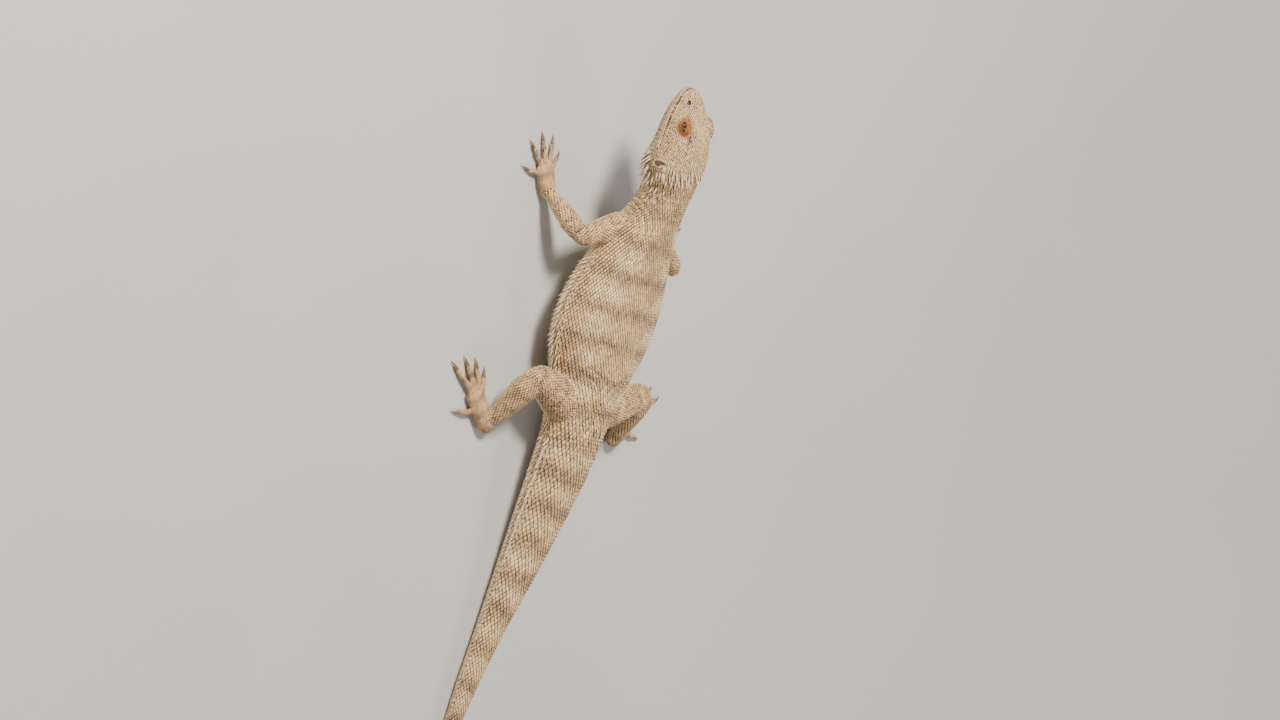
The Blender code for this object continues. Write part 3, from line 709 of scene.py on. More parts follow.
@dataclass(frozen=True)
class EyeSeat:
    """Where an eye sits in the head, and its opening.

    The higher a power, the more pointed the opening's corners: one for its edge, one farther out.
    """

    place: Triple = (0.0302, 0.0074, 0.0092)
    axis: Triple = (0.22, 0.94, 0.26)
    radius: float = 0.0046
    lid: float = 0.0008
    half_opening: Pair = (0.0030, 0.0015)
    slant: float = math.radians(10)
    corner_power: float = 1.25
    outer_power: float = 1.05
    outer_from: float = 0.001

    def directions(self, trunk: Trunk, side: Side) -> tuple[Array, ...]:
        """How an eye sits in the head.

        Args:
            trunk: the body with the head.
            side: the animal's side.

        Returns:
            The eye's centre, its outward axis, its long way and its high way.
        """
        outward = unit(trunk.head_way(self.axis, side))
        long_way = trunk.head_way((math.cos(self.slant), 0.0, -math.sin(self.slant)))
        long_way = unit(long_way - outward * (long_way @ outward))
        high_way = np.cross(outward, long_way) * -side.value
        return trunk.head_point(self.place, side), outward, long_way, high_way


def mesh_object(name: str, shape: bmesh.types.BMesh) -> Piece:
    """A new object in the scene from a finished bmesh, shaded smooth.

    Args:
        name: the piece's name.
        shape: its mesh, which is freed.

    Returns:
        The object, at the origin.
    """
    mesh = bpy.data.meshes.new(name)
    shape.to_mesh(mesh)
    shape.free()
    mesh.shade_smooth()
    piece = bpy.data.objects.new(name, mesh)
    bpy.context.scene.collection.objects.link(piece)
    return piece


def add_tube(shape: bmesh.types.BMesh, rings: Array) -> None:
    """Adds a closed tube to a bmesh, by extruding a circle from ring to ring.

    Args:
        shape: the bmesh that takes it.
        rings: rings of equally many points.
    """
    sides = rings.shape[1]
    made = bmesh.ops.create_circle(shape, segments=sides, radius=1.0, cap_ends=False)
    verts = list(made["verts"])
    loops = []
    for vert, point in zip(verts, rings[0]):
        vert.co = point
    for number in range(len(rings)):
        edges = [shape.edges.get((verts[i], verts[(i + 1) % sides])) for i in range(sides)]
        if number in (0, len(rings) - 1):
            loops.append(edges)
        if number < len(rings) - 1:
            grown = set(bmesh.ops.extrude_edge_only(shape, edges=edges)["geom"])
            verts = [
                next(e.other_vert(vert) for e in vert.link_edges if e.other_vert(vert) in grown)
                for vert in verts
            ]
            for vert, point in zip(verts, rings[number + 1]):
                vert.co = point
    for loop in loops:
        bmesh.ops.holes_fill(shape, edges=loop, sides=0)


def add_ball(
    shape: bmesh.types.BMesh,
    centre: Array,
    ways: tuple[Array, ...],
    radii: tuple[float, ...],
    segments: int = 24,
) -> None:
    """Adds an ellipsoid to a bmesh.

    Args:
        shape: the bmesh that takes it.
        centre: its middle.
        ways: its three directions.
        radii: its half size along each.
        segments: how many sides it has.
    """
    made = bmesh.ops.create_uvsphere(
        shape, u_segments=segments, v_segments=segments * 2 // 3, radius=1.0
    )
    for vert in made["verts"]:
        spot = tuple(vert.co)
        vert.co = centre + sum(way * s * r for way, s, r in zip(ways, spot, radii))


def turned_outward(shape: bmesh.types.BMesh) -> None:
    """Turns a closed mesh's faces outward."""
    shape.normal_update()
    bmesh.ops.recalc_face_normals(shape, faces=shape.faces)


def applied(piece: Piece) -> None:
    """Applies a piece's modifiers to its mesh.

    Args:
        piece: the piece, whose modifiers are then gone.
    """
    graph = bpy.context.evaluated_depsgraph_get()
    mesh = bpy.data.meshes.new_from_object(piece.evaluated_get(graph))
    piece.modifiers.clear()
    old = piece.data
    piece.data = mesh
    bpy.data.meshes.remove(old)


def triples(items: bpy.types.bpy_prop_collection, name: str) -> Array:
    """A property of three numbers, read from every item.

    Args:
        items: a mesh's vertices or normals.
        name: the property's name.

    Returns:
        One row for each item.
    """
    flat = np.empty(len(items) * 3)
    items.foreach_get(name, flat)
    return flat.reshape(-1, 3)


def steady_triangles(mesh: bpy.types.Mesh) -> Array:
    """A mesh's triangles in an order of their own, since a boolean leaves faces in no fixed one.

    Args:
        mesh: the mesh.

    Returns:
        Three vertex numbers for each triangle.
    """
    found = []
    for face in mesh.polygons:
        corners = list(face.vertices)
        low = corners.index(min(corners))
        first, *rest = corners[low:] + corners[:low]
        found.extend((first, second, third) for second, third in zip(rest, rest[1:]))
    return np.array(sorted(found))


def set_values(mesh: bpy.types.Mesh, name: str, values: Array) -> None:
    """Stores one number for each of a mesh's vertices."""
    made = mesh.attributes.new(name, "FLOAT", "POINT")
    made.data.foreach_set("value", np.ascontiguousarray(values, dtype=np.float32))


@dataclass
class Skin:
    """The one skin, over the trunk, head, legs and digits.

    The rings of a tube have a step and a number of sides. The folds at a leg's root have a share
    along the leg's first bone, a reach and a step, and those of the neck a place along, a reach
    and a step.
    """

    flesh: Flesh
    eye: EyeSeat
    voxel: float = 0.00092
    trunk_rings: tuple[float, int] = (0.0014, 80)
    limb_rings: tuple[float, int] = (0.0010, 24)
    rounds: int = 5
    blend_rounds: int = 30
    blend_share: float = 0.30
    blend_least: float = 0.02
    blend_reach: dict[str, Triple] = field(default_factory=lambda: {
        "fore": (0.020, 0.011, 0.006), "hind": (0.026, 0.014, 0.007),
    })
    root_folds: dict[str, Triple] = field(default_factory=lambda: {
        "fore": (0.22, 0.017, 0.0036), "hind": (0.24, 0.022, 0.0044),
    })
    root_fold_depth: float = 0.00050
    neck_folds: Triple = (0.1275, 0.0085, 0.0042)
    neck_fold_depth: float = 0.00060
    mouth_corner: float = 0.0145
    mouth_half: float = 0.00045
    mouth_depth: float = 0.00075
    cheek_depth: float = 0.00035
    nostril: Triple = (0.0436, 0.0062, 0.0062)
    nostril_half: Triple = (0.00125, 0.00085, 0.0016)
    nostril_way: Triple = (0.35, 0.80, 0.45)
    ear: Triple = (0.0082, 0.0200, 0.0042)
    ear_half: Triple = (0.0021, 0.0018, 0.0029)
    ear_way: Triple = (-0.15, 0.95, 0.25)
    brow: Triple = (0.0292, 0.0086, 0.0138)
    brow_half: Triple = (0.0058, 0.0018, 0.0018)
    brow_slope: float = math.radians(4)
    brow_turn: float = -0.12
    lid_gap: float = 0.0001
    socket_gap: float = 0.00012
    opening_rings: tuple[Pair, ...] = (
        (0.0015, 0.0), (0.0052, 0.0), (0.0090, 0.0004),
    )
    lowest: float = 0.0003

    def build(self) -> Piece:
        """Builds the skin.

        Returns:
            The skin's object.
        """
        trunk = self.flesh.trunk
        shape = bmesh.new()
        for name, tube in self.flesh.tubes.items():
            add_tube(shape, tube.rings(*(self.trunk_rings if name == "trunk" else self.limb_rings)))
        for side in Side:
            centre, outward, long_way, high_way = self.eye.directions(trunk, side)
            dome = self.eye.radius + self.eye.lid + self.lid_gap
            add_ball(shape, centre, (long_way, high_way, outward), (dome,) * 3)
            add_ball(shape, *self.brow_ball(side))
        turned_outward(shape)
        piece = mesh_object("skin", shape)
        remesh = piece.modifiers.new("one skin", "REMESH")
        remesh.mode = "VOXEL"
        remesh.voxel_size = self.voxel
        applied(piece)
        joints = piece.vertex_groups.new(name="joints")
        weights = self.joint_weights(triples(piece.data.vertices, "co"))
        for index in np.flatnonzero(weights > self.blend_least):
            joints.add([int(index)], float(weights[index]), "REPLACE")
        for rounds, group in ((self.rounds, ""), (self.blend_rounds, "joints")):
            soften = piece.modifiers.new("soften", "SMOOTH")
            soften.factor = 0.5
            soften.iterations = rounds
            soften.vertex_group = group
        applied(piece)
        self.fold(piece)
        cutters = self.cutters()
        for cutter in cutters:
            cut = piece.modifiers.new(cutter.name, "BOOLEAN")
            cut.operation = "DIFFERENCE"
            cut.solver = "MANIFOLD"
            cut.object = cutter
        applied(piece)
        for cutter in cutters:
            bpy.data.objects.remove(cutter, do_unlink=True)
        for vert in piece.data.vertices:
            vert.co.z = max(vert.co.z, self.lowest)
        piece.data.shade_smooth()
        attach(piece, BODY)
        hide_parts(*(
            name for name in frame_nodes() if not name.startswith(("eye_", "eardrum_", "claw_"))
        ))
        return piece

    def joint_weights(self, places: Array) -> Array:
        """How much the skin is blended, most round the joints of the legs.

        Args:
            places: places on the skin.

        Returns:
            A weight from 0 to 1 for each.
        """
        weights = np.zeros(len(places))
        for kind, reaches in self.blend_reach.items():
            for side in Side:
                first, second, third = self.flesh.leg_joints(kind, side)
                spots = [first + (second - first) * self.blend_share, second, third]
                for spot, reach in zip(spots, reaches):
                    weights = np.maximum(
                        weights, hill(0, reach, np.linalg.norm(places - spot, axis=1))
                    )
        return weights

    def fold(self, piece: Piece) -> None:
        """Presses folds into the skin: at the neck, round the legs' roots, and at the mouth.

        Args:
            piece: the skin.
        """
        trunk = self.flesh.trunk
        places = triples(piece.data.vertices, "co")
        normals = triples(piece.data.vertex_normals, "vector")
        along = trunk.shift - places[:, 1]
        depth = np.zeros(len(places))
        for kind, (share, reach, step) in self.root_folds.items():
            for side in Side:
                first, second, _ = self.flesh.leg_joints(kind, side)
                away = np.linalg.norm(places - (first + (second - first) * share), axis=1)
                on_trunk = smooth_step(0.018, 0.010, np.abs(places[:, 0]) - 0.008)
                wave = 0.5 + 0.5 * np.cos(away / step * math.tau)
                near = hill(reach, reach * 0.38, away)
                depth += self.root_fold_depth * wave**2 * near * on_trunk
        middle, reach, step = self.neck_folds
        neck = hill(middle, reach, along) * smooth_step(0.75, 0.1, normals[:, 2])
        wave = 0.5 + 0.5 * np.sin(along / step * math.tau + 9 * places[:, 0] / 0.03)
        depth += self.neck_fold_depth * wave**2 * neck
        local = trunk.head_places(places)
        height = trunk.head.read(np.clip(local[:, 0], 0, trunk.head_length))[:, 1]
        lips = smooth_step(self.mouth_corner, self.mouth_corner + 0.0030, local[:, 0])
        lips = lips * hill(0, self.mouth_half, local[:, 2] - height)
        depth += self.mouth_depth * lips
        cheek = hill(0.0125, 0.0035, local[:, 0]) * hill(-0.0015, 0.0030, local[:, 2])
        depth += self.cheek_depth * cheek
        flat = (places - normals * depth[:, None]).ravel()
        piece.data.vertices.foreach_set("co", flat)
        piece.data.update()

    def brow_ball(self, side: Side) -> tuple[Array, tuple[Array, ...], tuple[float, ...]]:
        """The ridge over an eye.

        Args:
            side: the animal's side.

        Returns:
            Its centre, its directions and its half sizes.
        """
        trunk = self.flesh.trunk
        way = (math.cos(self.brow_slope), self.brow_turn, -math.sin(self.brow_slope))
        along = unit(trunk.head_way(way, side))
        across = trunk.head_way((0.0, 1.0, 0.0))
        across = unit(across - along * (across @ along))
        ways = (along, across, np.cross(along, across))
        return trunk.head_point(self.brow, side), ways, self.brow_half

    def ear_seat(self, side: Side) -> tuple[Array, tuple[Array, ...]]:
        """The cup of an ear.

        Args:
            side: the animal's side.

        Returns:
            Its centre and its directions.
        """
        trunk = self.flesh.trunk
        outward = unit(trunk.head_way(self.ear_way, side))
        high = trunk.head_way((0.0, 0.0, 1.0))
        high = unit(high - outward * (high @ outward))
        return trunk.head_point(self.ear, side), (np.cross(high, outward), outward, high)

    def nostril_seat(self, side: Side) -> tuple[Array, Array]:
        """The centre of a nostril's mouth, and the way that it opens."""
        trunk = self.flesh.trunk
        return trunk.head_point(self.nostril, side), unit(trunk.head_way(self.nostril_way, side))

    def cutters(self) -> list[Piece]:
        """Builds the closed shapes that hollow the eyes' sockets, the nostrils and the ears.

        Returns:
            Their objects, to be removed after use.
        """
        made = []
        for side in Side:
            centre, outward, long_way, high_way = self.eye.directions(self.flesh.trunk, side)
            socket = bmesh.new()
            radius = self.eye.radius + self.socket_gap
            add_ball(socket, centre, (long_way, high_way, outward), (radius,) * 3, 48)
            opening = bmesh.new()
            rings = [
                centre + outward * reach + lid_line(self.eye, wider)[:, :1] * long_way
                + lid_line(self.eye, wider)[:, 1:] * high_way
                for reach, wider in self.opening_rings
            ]
            add_tube(opening, np.array(rings))
            nostril = bmesh.new()
            spot, opens = self.nostril_seat(side)
            across = unit(np.cross(UP, opens))
            hole = (across, np.cross(opens, across), opens)
            add_ball(nostril, spot, hole, self.nostril_half, 18)
            cup = bmesh.new()
            add_ball(cup, *self.ear_seat(side), self.ear_half, 30)
            for name, shape in (("socket", socket), ("opening", opening), ("nostril", nostril),
                                ("ear", cup)):
                turned_outward(shape)
                made.append(mesh_object(f"{name}_{side.label}", shape))
        return made


def frame_nodes() -> list[str]:
    """The names of the frame's nodes."""
    return sorted(item.name for item in bpy.data.objects if "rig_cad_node" in item)


def lid_line(eye: EyeSeat, wider: float, points: int = 40) -> Array:
    """The almond line of the lids' edge in the eye's long and high directions.

    Args:
        eye: the eye's sizes.
        wider: how far outside the edge the line runs.
        points: how many points it has.

    Returns:
        An array of points by two.
    """
    turn = np.linspace(0, math.tau, points, endpoint=False)
    across, rise = np.cos(turn), np.sin(turn)
    half_long, half_high = (half + wider for half in eye.half_opening)
    power = eye.corner_power if wider < eye.outer_from else eye.outer_power
    return np.stack([
        half_long * np.sign(across) * np.abs(across) ** power,
        half_high * np.sign(rise) * np.abs(rise) ** power,
    ], axis=1)


@dataclass
class Marks:
    """How pale, dark, rusty and black the animal is at each root, from 0 to 1."""

    pale: Array
    dark: Array
    rust: Array
    # black holds the beard's dark skin and the painted shade under the chin and throat.
    black: Array

    NAMES = ("pale", "dark", "rust", "black")


@dataclass(frozen=True)
class Markings:
    """The pattern of the species, laid out along the animal.

    The steps are from mark to mark, and each named part's share says how strong its mark is. The
    rust of the lids starts at the first distance from the eye and is full at the second. The near
    black of the chin and throat is partly the beard's own dark skin and partly painted shade.
    """

    blotch_step: float = 0.0205
    blotch_first: float = 0.010
    tail_step: float = 0.0215
    leg_step: float = 0.0105
    under_pale: float = 0.95
    oval_pale: float = 0.85
    tail_pale: float = 0.45
    head_pale: float = 0.30
    back_dark: float = 0.55
    tail_dark: float = 0.50
    leg_dark: float = 0.42
    sole_rust: float = 0.50
    lid_rust: float = 0.92
    cheek_rust: float = 0.22
    lid_patch: Pair = (0.0064, 0.0038)
    throat_black: float = 0.92
    beard_black: float = 0.62

    def read(self, roots: Roots, skin: Skin) -> Marks:
        """The marks at scale roots.

        Args:
            roots: where to read them.
            skin: the skin, for the places of the eyes and the head.

        Returns:
            One value of each mark for each root.
        """
        trunk = skin.flesh.trunk
        rise = roots.outward[:, 2]
        on_body = roots.part == 0
        broad, fine = cloud(roots.place, 0.011), cloud(roots.place, 0.0034, 7.0)
        along = roots.along + 0.0016 * broad
        ahead = along - trunk.joint
        in_head = on_body & (ahead > 0)
        side_way = np.abs(roots.outward[:, 0])
        under = smooth_step(0.05, -0.55, rise)
        trunk_only = smooth_step(-0.03, 0.0, along) * smooth_step(0.135, 0.115, along)
        phase = (along - self.blotch_first) / self.blotch_step
        ripple = phase - np.round(phase)
        oval = hill(0.0, 0.27, ripple) * hill(0.42, 0.20, side_way) * smooth_step(0.3, 0.6, rise)
        bar = hill(0.5, 0.17, np.abs(ripple)) * smooth_step(0.15, 0.55, rise)
        pale = under * self.under_pale
        pale = np.maximum(pale, np.where(on_body, self.oval_pale * oval * trunk_only, 0.0))
        dark = np.where(on_body, self.back_dark * bar * trunk_only, 0.0)
        in_tail = on_body & (along < -0.02)
        wave = np.sin(along / self.tail_step * math.tau)
        ring = self.tail_dark * smooth_step(0.1, 0.8, wave) * smooth_step(-0.3, 0.3, rise)
        gap = self.tail_pale * smooth_step(0.0, -0.8, wave)
        dark = np.where(in_tail, ring, dark)
        pale = np.where(in_tail, np.maximum(pale, gap), pale)
        wave = np.sin(along / self.leg_step * math.tau)
        ring = self.leg_dark * smooth_step(0.2, 0.9, wave) * smooth_step(0, 0.6, rise)
        dark = np.where(roots.part > 0, ring, dark)
        sole = self.sole_rust * smooth_step(0.2, -0.6, rise) + 0.05
        rust = np.where(roots.part == 3, sole, 0.0)
        for side in Side:
            centre, outward, long_way, high_way = skin.eye.directions(trunk, side)
            away = roots.place - centre
            apart = np.hypot(away @ long_way / 1.18, away @ high_way / 0.88)
            near = smooth_step(*self.lid_patch, apart) * (away @ outward > 0.0005)
            rust = np.maximum(rust, self.lid_rust * near)
        cheek = hill(0.020, 0.010, ahead) * smooth_step(-0.5, 0.1, rise) * smooth_step(0.7, 0.2, rise)
        rust = np.where(in_head, np.maximum(rust, self.cheek_rust * cheek), rust)
        pale = np.where(in_head, np.maximum(pale * 0.35, self.head_pale), pale)
        dark = np.where(in_head, 0.0, dark)
        # The chin and throat are made near black: partly the beard's own dark skin, partly painted
        # shade under the head.
        throat = smooth_step(-0.25, -0.75, rise) * smooth_step(0.118, 0.132, along)
        chin = smooth_step(0.046, 0.034, ahead)
        black = np.where(on_body, throat * chin, 0.0) * self.throat_black
        beard = hill(0.006, 0.009, ahead) * smooth_step(0.25, -0.15, rise)
        black = np.where(on_body, np.maximum(black, self.beard_black * beard), black)
        quiet = 1 - 0.75 * under
        pale = np.clip(pale * (1 + 0.45 * fine * quiet) + 0.10 * np.maximum(broad, 0), 0, 1)
        dark = np.clip(dark * (1 + 0.60 * fine) + 0.16 * np.maximum(-broad, 0) * quiet, 0, 1)
        rust = np.clip(rust * (1 + 0.30 * fine), 0, 1)
        black = np.clip(black * (1 + 0.25 * fine), 0, 1)
        return Marks(pale, dark, rust, black)


@dataclass
class Lattice:
    """Lays rows of scale roots over the tubes and settles them on the skin.

    Shares, gaps and unevenness are parts of a scale's size.
    """

    skin: Skin
    surface: BVHTree
    spread: np.random.Generator
    reach: float = 0.0011
    row_share: float = 0.82
    trunk_sizes: tuple[Pair, ...] = (
        (-0.266, 0.0009), (-0.220, 0.0014), (-0.150, 0.0021), (-0.080, 0.0026),
        (-0.028, 0.0026), (0.000, 0.0022), (0.050, 0.0021), (0.100, 0.0019), (0.132, 0.0016),
        (0.146, 0.0014), (0.165, 0.0015), (0.180, 0.0012), (0.192, 0.0010),
    )
    belly_share: float = 0.90
    bare_share: float = 0.68
    filler_share: float = 0.80
    bone_size: float = 0.0018
    pad_size: float = 0.0013
    digit_size: float = 0.00105
    least_size: float = 0.00070
    lattice_gap: float = 0.66
    filler_gap: float = 0.85
    samples: int = 120000
    farthest: float = 0.012
    even: float = 0.06
    uneven: float = 0.12
    nostril_clear: float = 0.0019
    ear_clear: Triple = (0.0025, 0.0034, 0.005)
    mouth_clear: float = 0.0013
    mouth_corner: float = 0.0172

    def roots(self) -> Roots:
        """Lays every lattice root, before the gaps among them are filled.

        Returns:
            The roots.
        """
        several = [self.settled(name, *self.rows(name)) for name in self.skin.flesh.tubes]
        roots = Roots.joined(several)
        roots = roots.kept(~self.in_features(roots))
        return roots.kept(self.apart(roots, self.lattice_gap))

    def size_at(self, name: str, along: float, ventral: bool) -> float:
        """How far apart roots are at a place along a tube.

        Args:
            name: the tube's name.
            along: the place along it.
            ventral: whether the place is on the lower half.

        Returns:
            The distance from root to root, which is also the scale's size.
        """
        if name == "trunk":
            table = np.array(self.trunk_sizes)
            size = float(np.interp(along, table[:, 0], table[:, 1]))
            return size * (self.belly_share if ventral and along > -0.02 else 1.0)
        if "digit" in name:
            return self.digit_size
        return self.pad_size if "pad" in name else self.bone_size

    def rows(self, name: str) -> tuple[Array, Array, Array]:
        """Rows of roots over a tube, each half a step aside from the row before.

        Args:
            name: the tube's name.

        Returns:
            The roots' places along, angles round and sizes.
        """
        tube = self.skin.flesh.tubes[name]
        found: list[tuple[Array, Array, Array]] = []
        halves = (False, True) if name == "trunk" else (False,)
        for ventral in halves:
            middle = -math.pi / 2 if ventral else math.pi / 2
            sweep = math.pi / 2 if name == "trunk" else math.pi
            along = tube.first + 0.0004
            row = 0
            while along < tube.last - 0.0003:
                size = self.size_at(name, along, ventral)
                for way in (-1, 1):
                    turn = middle + (way if not ventral else -way) * np.linspace(0, sweep, 60)
                    line = tube.points(np.full(60, along), turn)
                    arc = arc_lengths(line)
                    first = size / 2 if row % 2 else (0.0 if way > 0 else size)
                    spots = np.arange(first, arc[-1] - size * 0.3, size)
                    loose = "arm" in name or "thigh" in name or along > 0.13
                    most = self.uneven if loose else self.even
                    shift = self.spread.uniform(-most, most, (2, len(spots))) * size
                    grown = 1 + 1.4 * self.spread.uniform(-most, most, len(spots))
                    found.append((
                        np.clip(along + shift[0], tube.first, tube.last),
                        np.interp(spots + shift[1], arc, turn),
                        size * grown,
                    ))
                along += size * self.row_share
                row += 1
        return tuple(np.concatenate(part) for part in zip(*found))

    def settled(
        self, name: str, along: Array, around: Array, size: Array
    ) -> Roots:
        """Roots moved to the skin, without those inside another part of the body.

        Args:
            name: the tube's name.
            along: places along it.
            around: angles round it.
            size: the scales' sizes.

        Returns:
            The roots that lie on the skin.
        """
        tubes = self.skin.flesh.tubes
        tube = tubes[name]
        points = tube.points(along, around)
        step = min(0.0004, (tube.last - tube.first) * 0.02)
        backward = unit(tube.points(along - step, around) - tube.points(along + step, around))
        if name != "trunk":
            backward = -backward
        part = 0 if name == "trunk" else 3 if ("pad" in name or "digit" in name) else (
            1 if name.startswith(("upper", "thigh")) else 2)
        share = (along - tube.first) / (tube.last - tube.first)
        turn = np.mod(around / math.tau, 1.0)
        cells = self.cell(list(tubes).index(name))
        patch = np.stack([cells[0] + cells[2] * turn, cells[1] + cells[3] * share], axis=1)
        smooth_below = (part == 0) & (np.sin(around) < -0.25)
        return self.on_skin(Roots(points, points, backward, size, patch,
                                  np.full(len(along), part), along, np.where(smooth_below, 1, 0)))

    def on_skin(self, loose: Roots) -> Roots:
        """Moves roots to the skin's nearest points and drops those too far from it.

        Args:
            loose: the roots, whose outward directions aren't known yet.

        Returns:
            The roots that lie on the skin.
        """
        found = [self.surface.find_nearest(point, self.reach) for point in loose.place]
        kept = [i for i, hit in enumerate(found) if hit[0] is not None]
        roots = loose.kept(np.array(kept))
        roots.place = np.array([found[i][0][:] for i in kept])
        roots.outward = np.array([found[i][1][:] for i in kept])
        roots.backward = laid(roots.backward, roots.outward)
        return roots

    @staticmethod
    def cell(number: int) -> tuple[float, float, float, float]:
        """A tube's cell in the unwrap.

        Args:
            number: the tube's place among the tubes; each leg has eight after the trunk.

        Returns:
            The cell's low corner, then its width and height.
        """
        if number == 0:
            return 0.01, 0.01, 0.36, 0.98
        leg, item = divmod(number - 1, 8)
        if item < 2:
            row, column = divmod(leg * 2 + item, 4)
            return 0.39 + column * 0.15, 0.01 + row * 0.14, 0.14, 0.13
        if item == 2:
            return 0.39 + leg * 0.15, 0.30, 0.14, 0.07
        row, column = divmod(leg * 5 + item - 3, 10)
        return 0.39 + column * 0.06, 0.40 + row * 0.10, 0.055, 0.09

    def in_features(self, roots: Roots, lids: float = 0.0025) -> Array:
        """Which roots lie in an eye's lids, an ear, a nostril or the line of the mouth.

        Args:
            roots: the roots.
            lids: how far outside their opening the lids are kept clear.

        Returns:
            True for those that do.
        """
        trunk = self.skin.flesh.trunk
        found = np.zeros(len(roots.place), bool)
        for side in Side:
            centre, outward, long_way, high_way = self.skin.eye.directions(trunk, side)
            away = roots.place - centre
            half_long, half_high = (half + lids for half in self.skin.eye.half_opening)
            inside = (away @ long_way / half_long) ** 2 + (away @ high_way / half_high) ** 2 < 1
            found |= inside & (away @ outward > 0)
            spot, _ = self.skin.nostril_seat(side)
            found |= np.linalg.norm(roots.place - spot, axis=1) < self.nostril_clear
            cup, (across, _, high) = self.skin.ear_seat(side)
            away = roots.place - cup
            wide, tall, reach = self.ear_clear
            inside = (away @ across / wide) ** 2 + (away @ high / tall) ** 2 < 1
            found |= inside & (np.linalg.norm(away, axis=1) < reach)
        local = trunk.head_places(roots.place)
        height = trunk.head.read(np.clip(local[:, 0], 0, trunk.head_length))[:, 1]
        mouth = (np.abs(local[:, 2] - height) < self.mouth_clear) & (local[:, 0] > self.mouth_corner)
        return found | (mouth & (roots.part == 0))

    @staticmethod
    def apart(roots: Roots, share: float) -> Array:
        """Which roots keep clear of every earlier one that is kept.

        Args:
            roots: the roots.
            share: how far, as a share of the earlier one's size.

        Returns:
            True for those that do.
        """
        tree = tree_of(roots.place)
        kept = np.ones(len(roots.place), bool)
        for i, (place, size) in enumerate(zip(roots.place, roots.size)):
            if kept[i]:
                for _, other, _ in tree.find_range(place, size * share):
                    if other > i:
                        kept[other] = False
        return kept

    def filled(self, roots: Roots, corners: Array, rounds: int = 4) -> Roots:
        """The roots with more set among them wherever the skin is still bare.

        Args:
            roots: the lattice's roots.
            corners: the corners of the skin's triangles.
            rounds: how many times to look for bare skin.

        Returns:
            All the roots.
        """
        a, b, c = corners[:, 0], corners[:, 1], corners[:, 2]
        cross = np.cross(b - a, c - a)
        area = np.linalg.norm(cross, axis=1)
        normal = unit(cross)
        for _ in range(rounds):
            pick = self.spread.choice(len(area), self.samples, p=area / area.sum())
            u, v = self.spread.random((2, self.samples, 1))
            fold = u + v > 1
            u, v = np.where(fold, 1 - u, u), np.where(fold, 1 - v, v)
            spots = a[pick] + (b[pick] - a[pick]) * u + (c[pick] - a[pick]) * v
            tree = tree_of(roots.place)
            near, bare = [], []
            for i, spot in enumerate(spots):
                _, other, distance = tree.find(spot)
                if self.farthest > distance > roots.size[other] * self.bare_share:
                    near.append(other)
                    bare.append(i)
            near, bare = np.array(near, int), np.array(bare, int)
            fresh = roots.kept(near)
            fresh.place = spots[bare]
            fresh.outward = normal[pick[bare]]
            fresh.backward = laid(fresh.backward, fresh.outward)
            fresh.patch = fresh.patch + self.spread.uniform(-0.003, 0.003, fresh.patch.shape)
            fresh = fresh.kept(~self.in_features(fresh, 0.0003))
            fresh.size = np.maximum(fresh.size * self.filler_share, self.least_size)
            fresh = fresh.kept(self.apart(fresh, self.filler_gap))
            roots = Roots.joined([roots, fresh])
        return roots


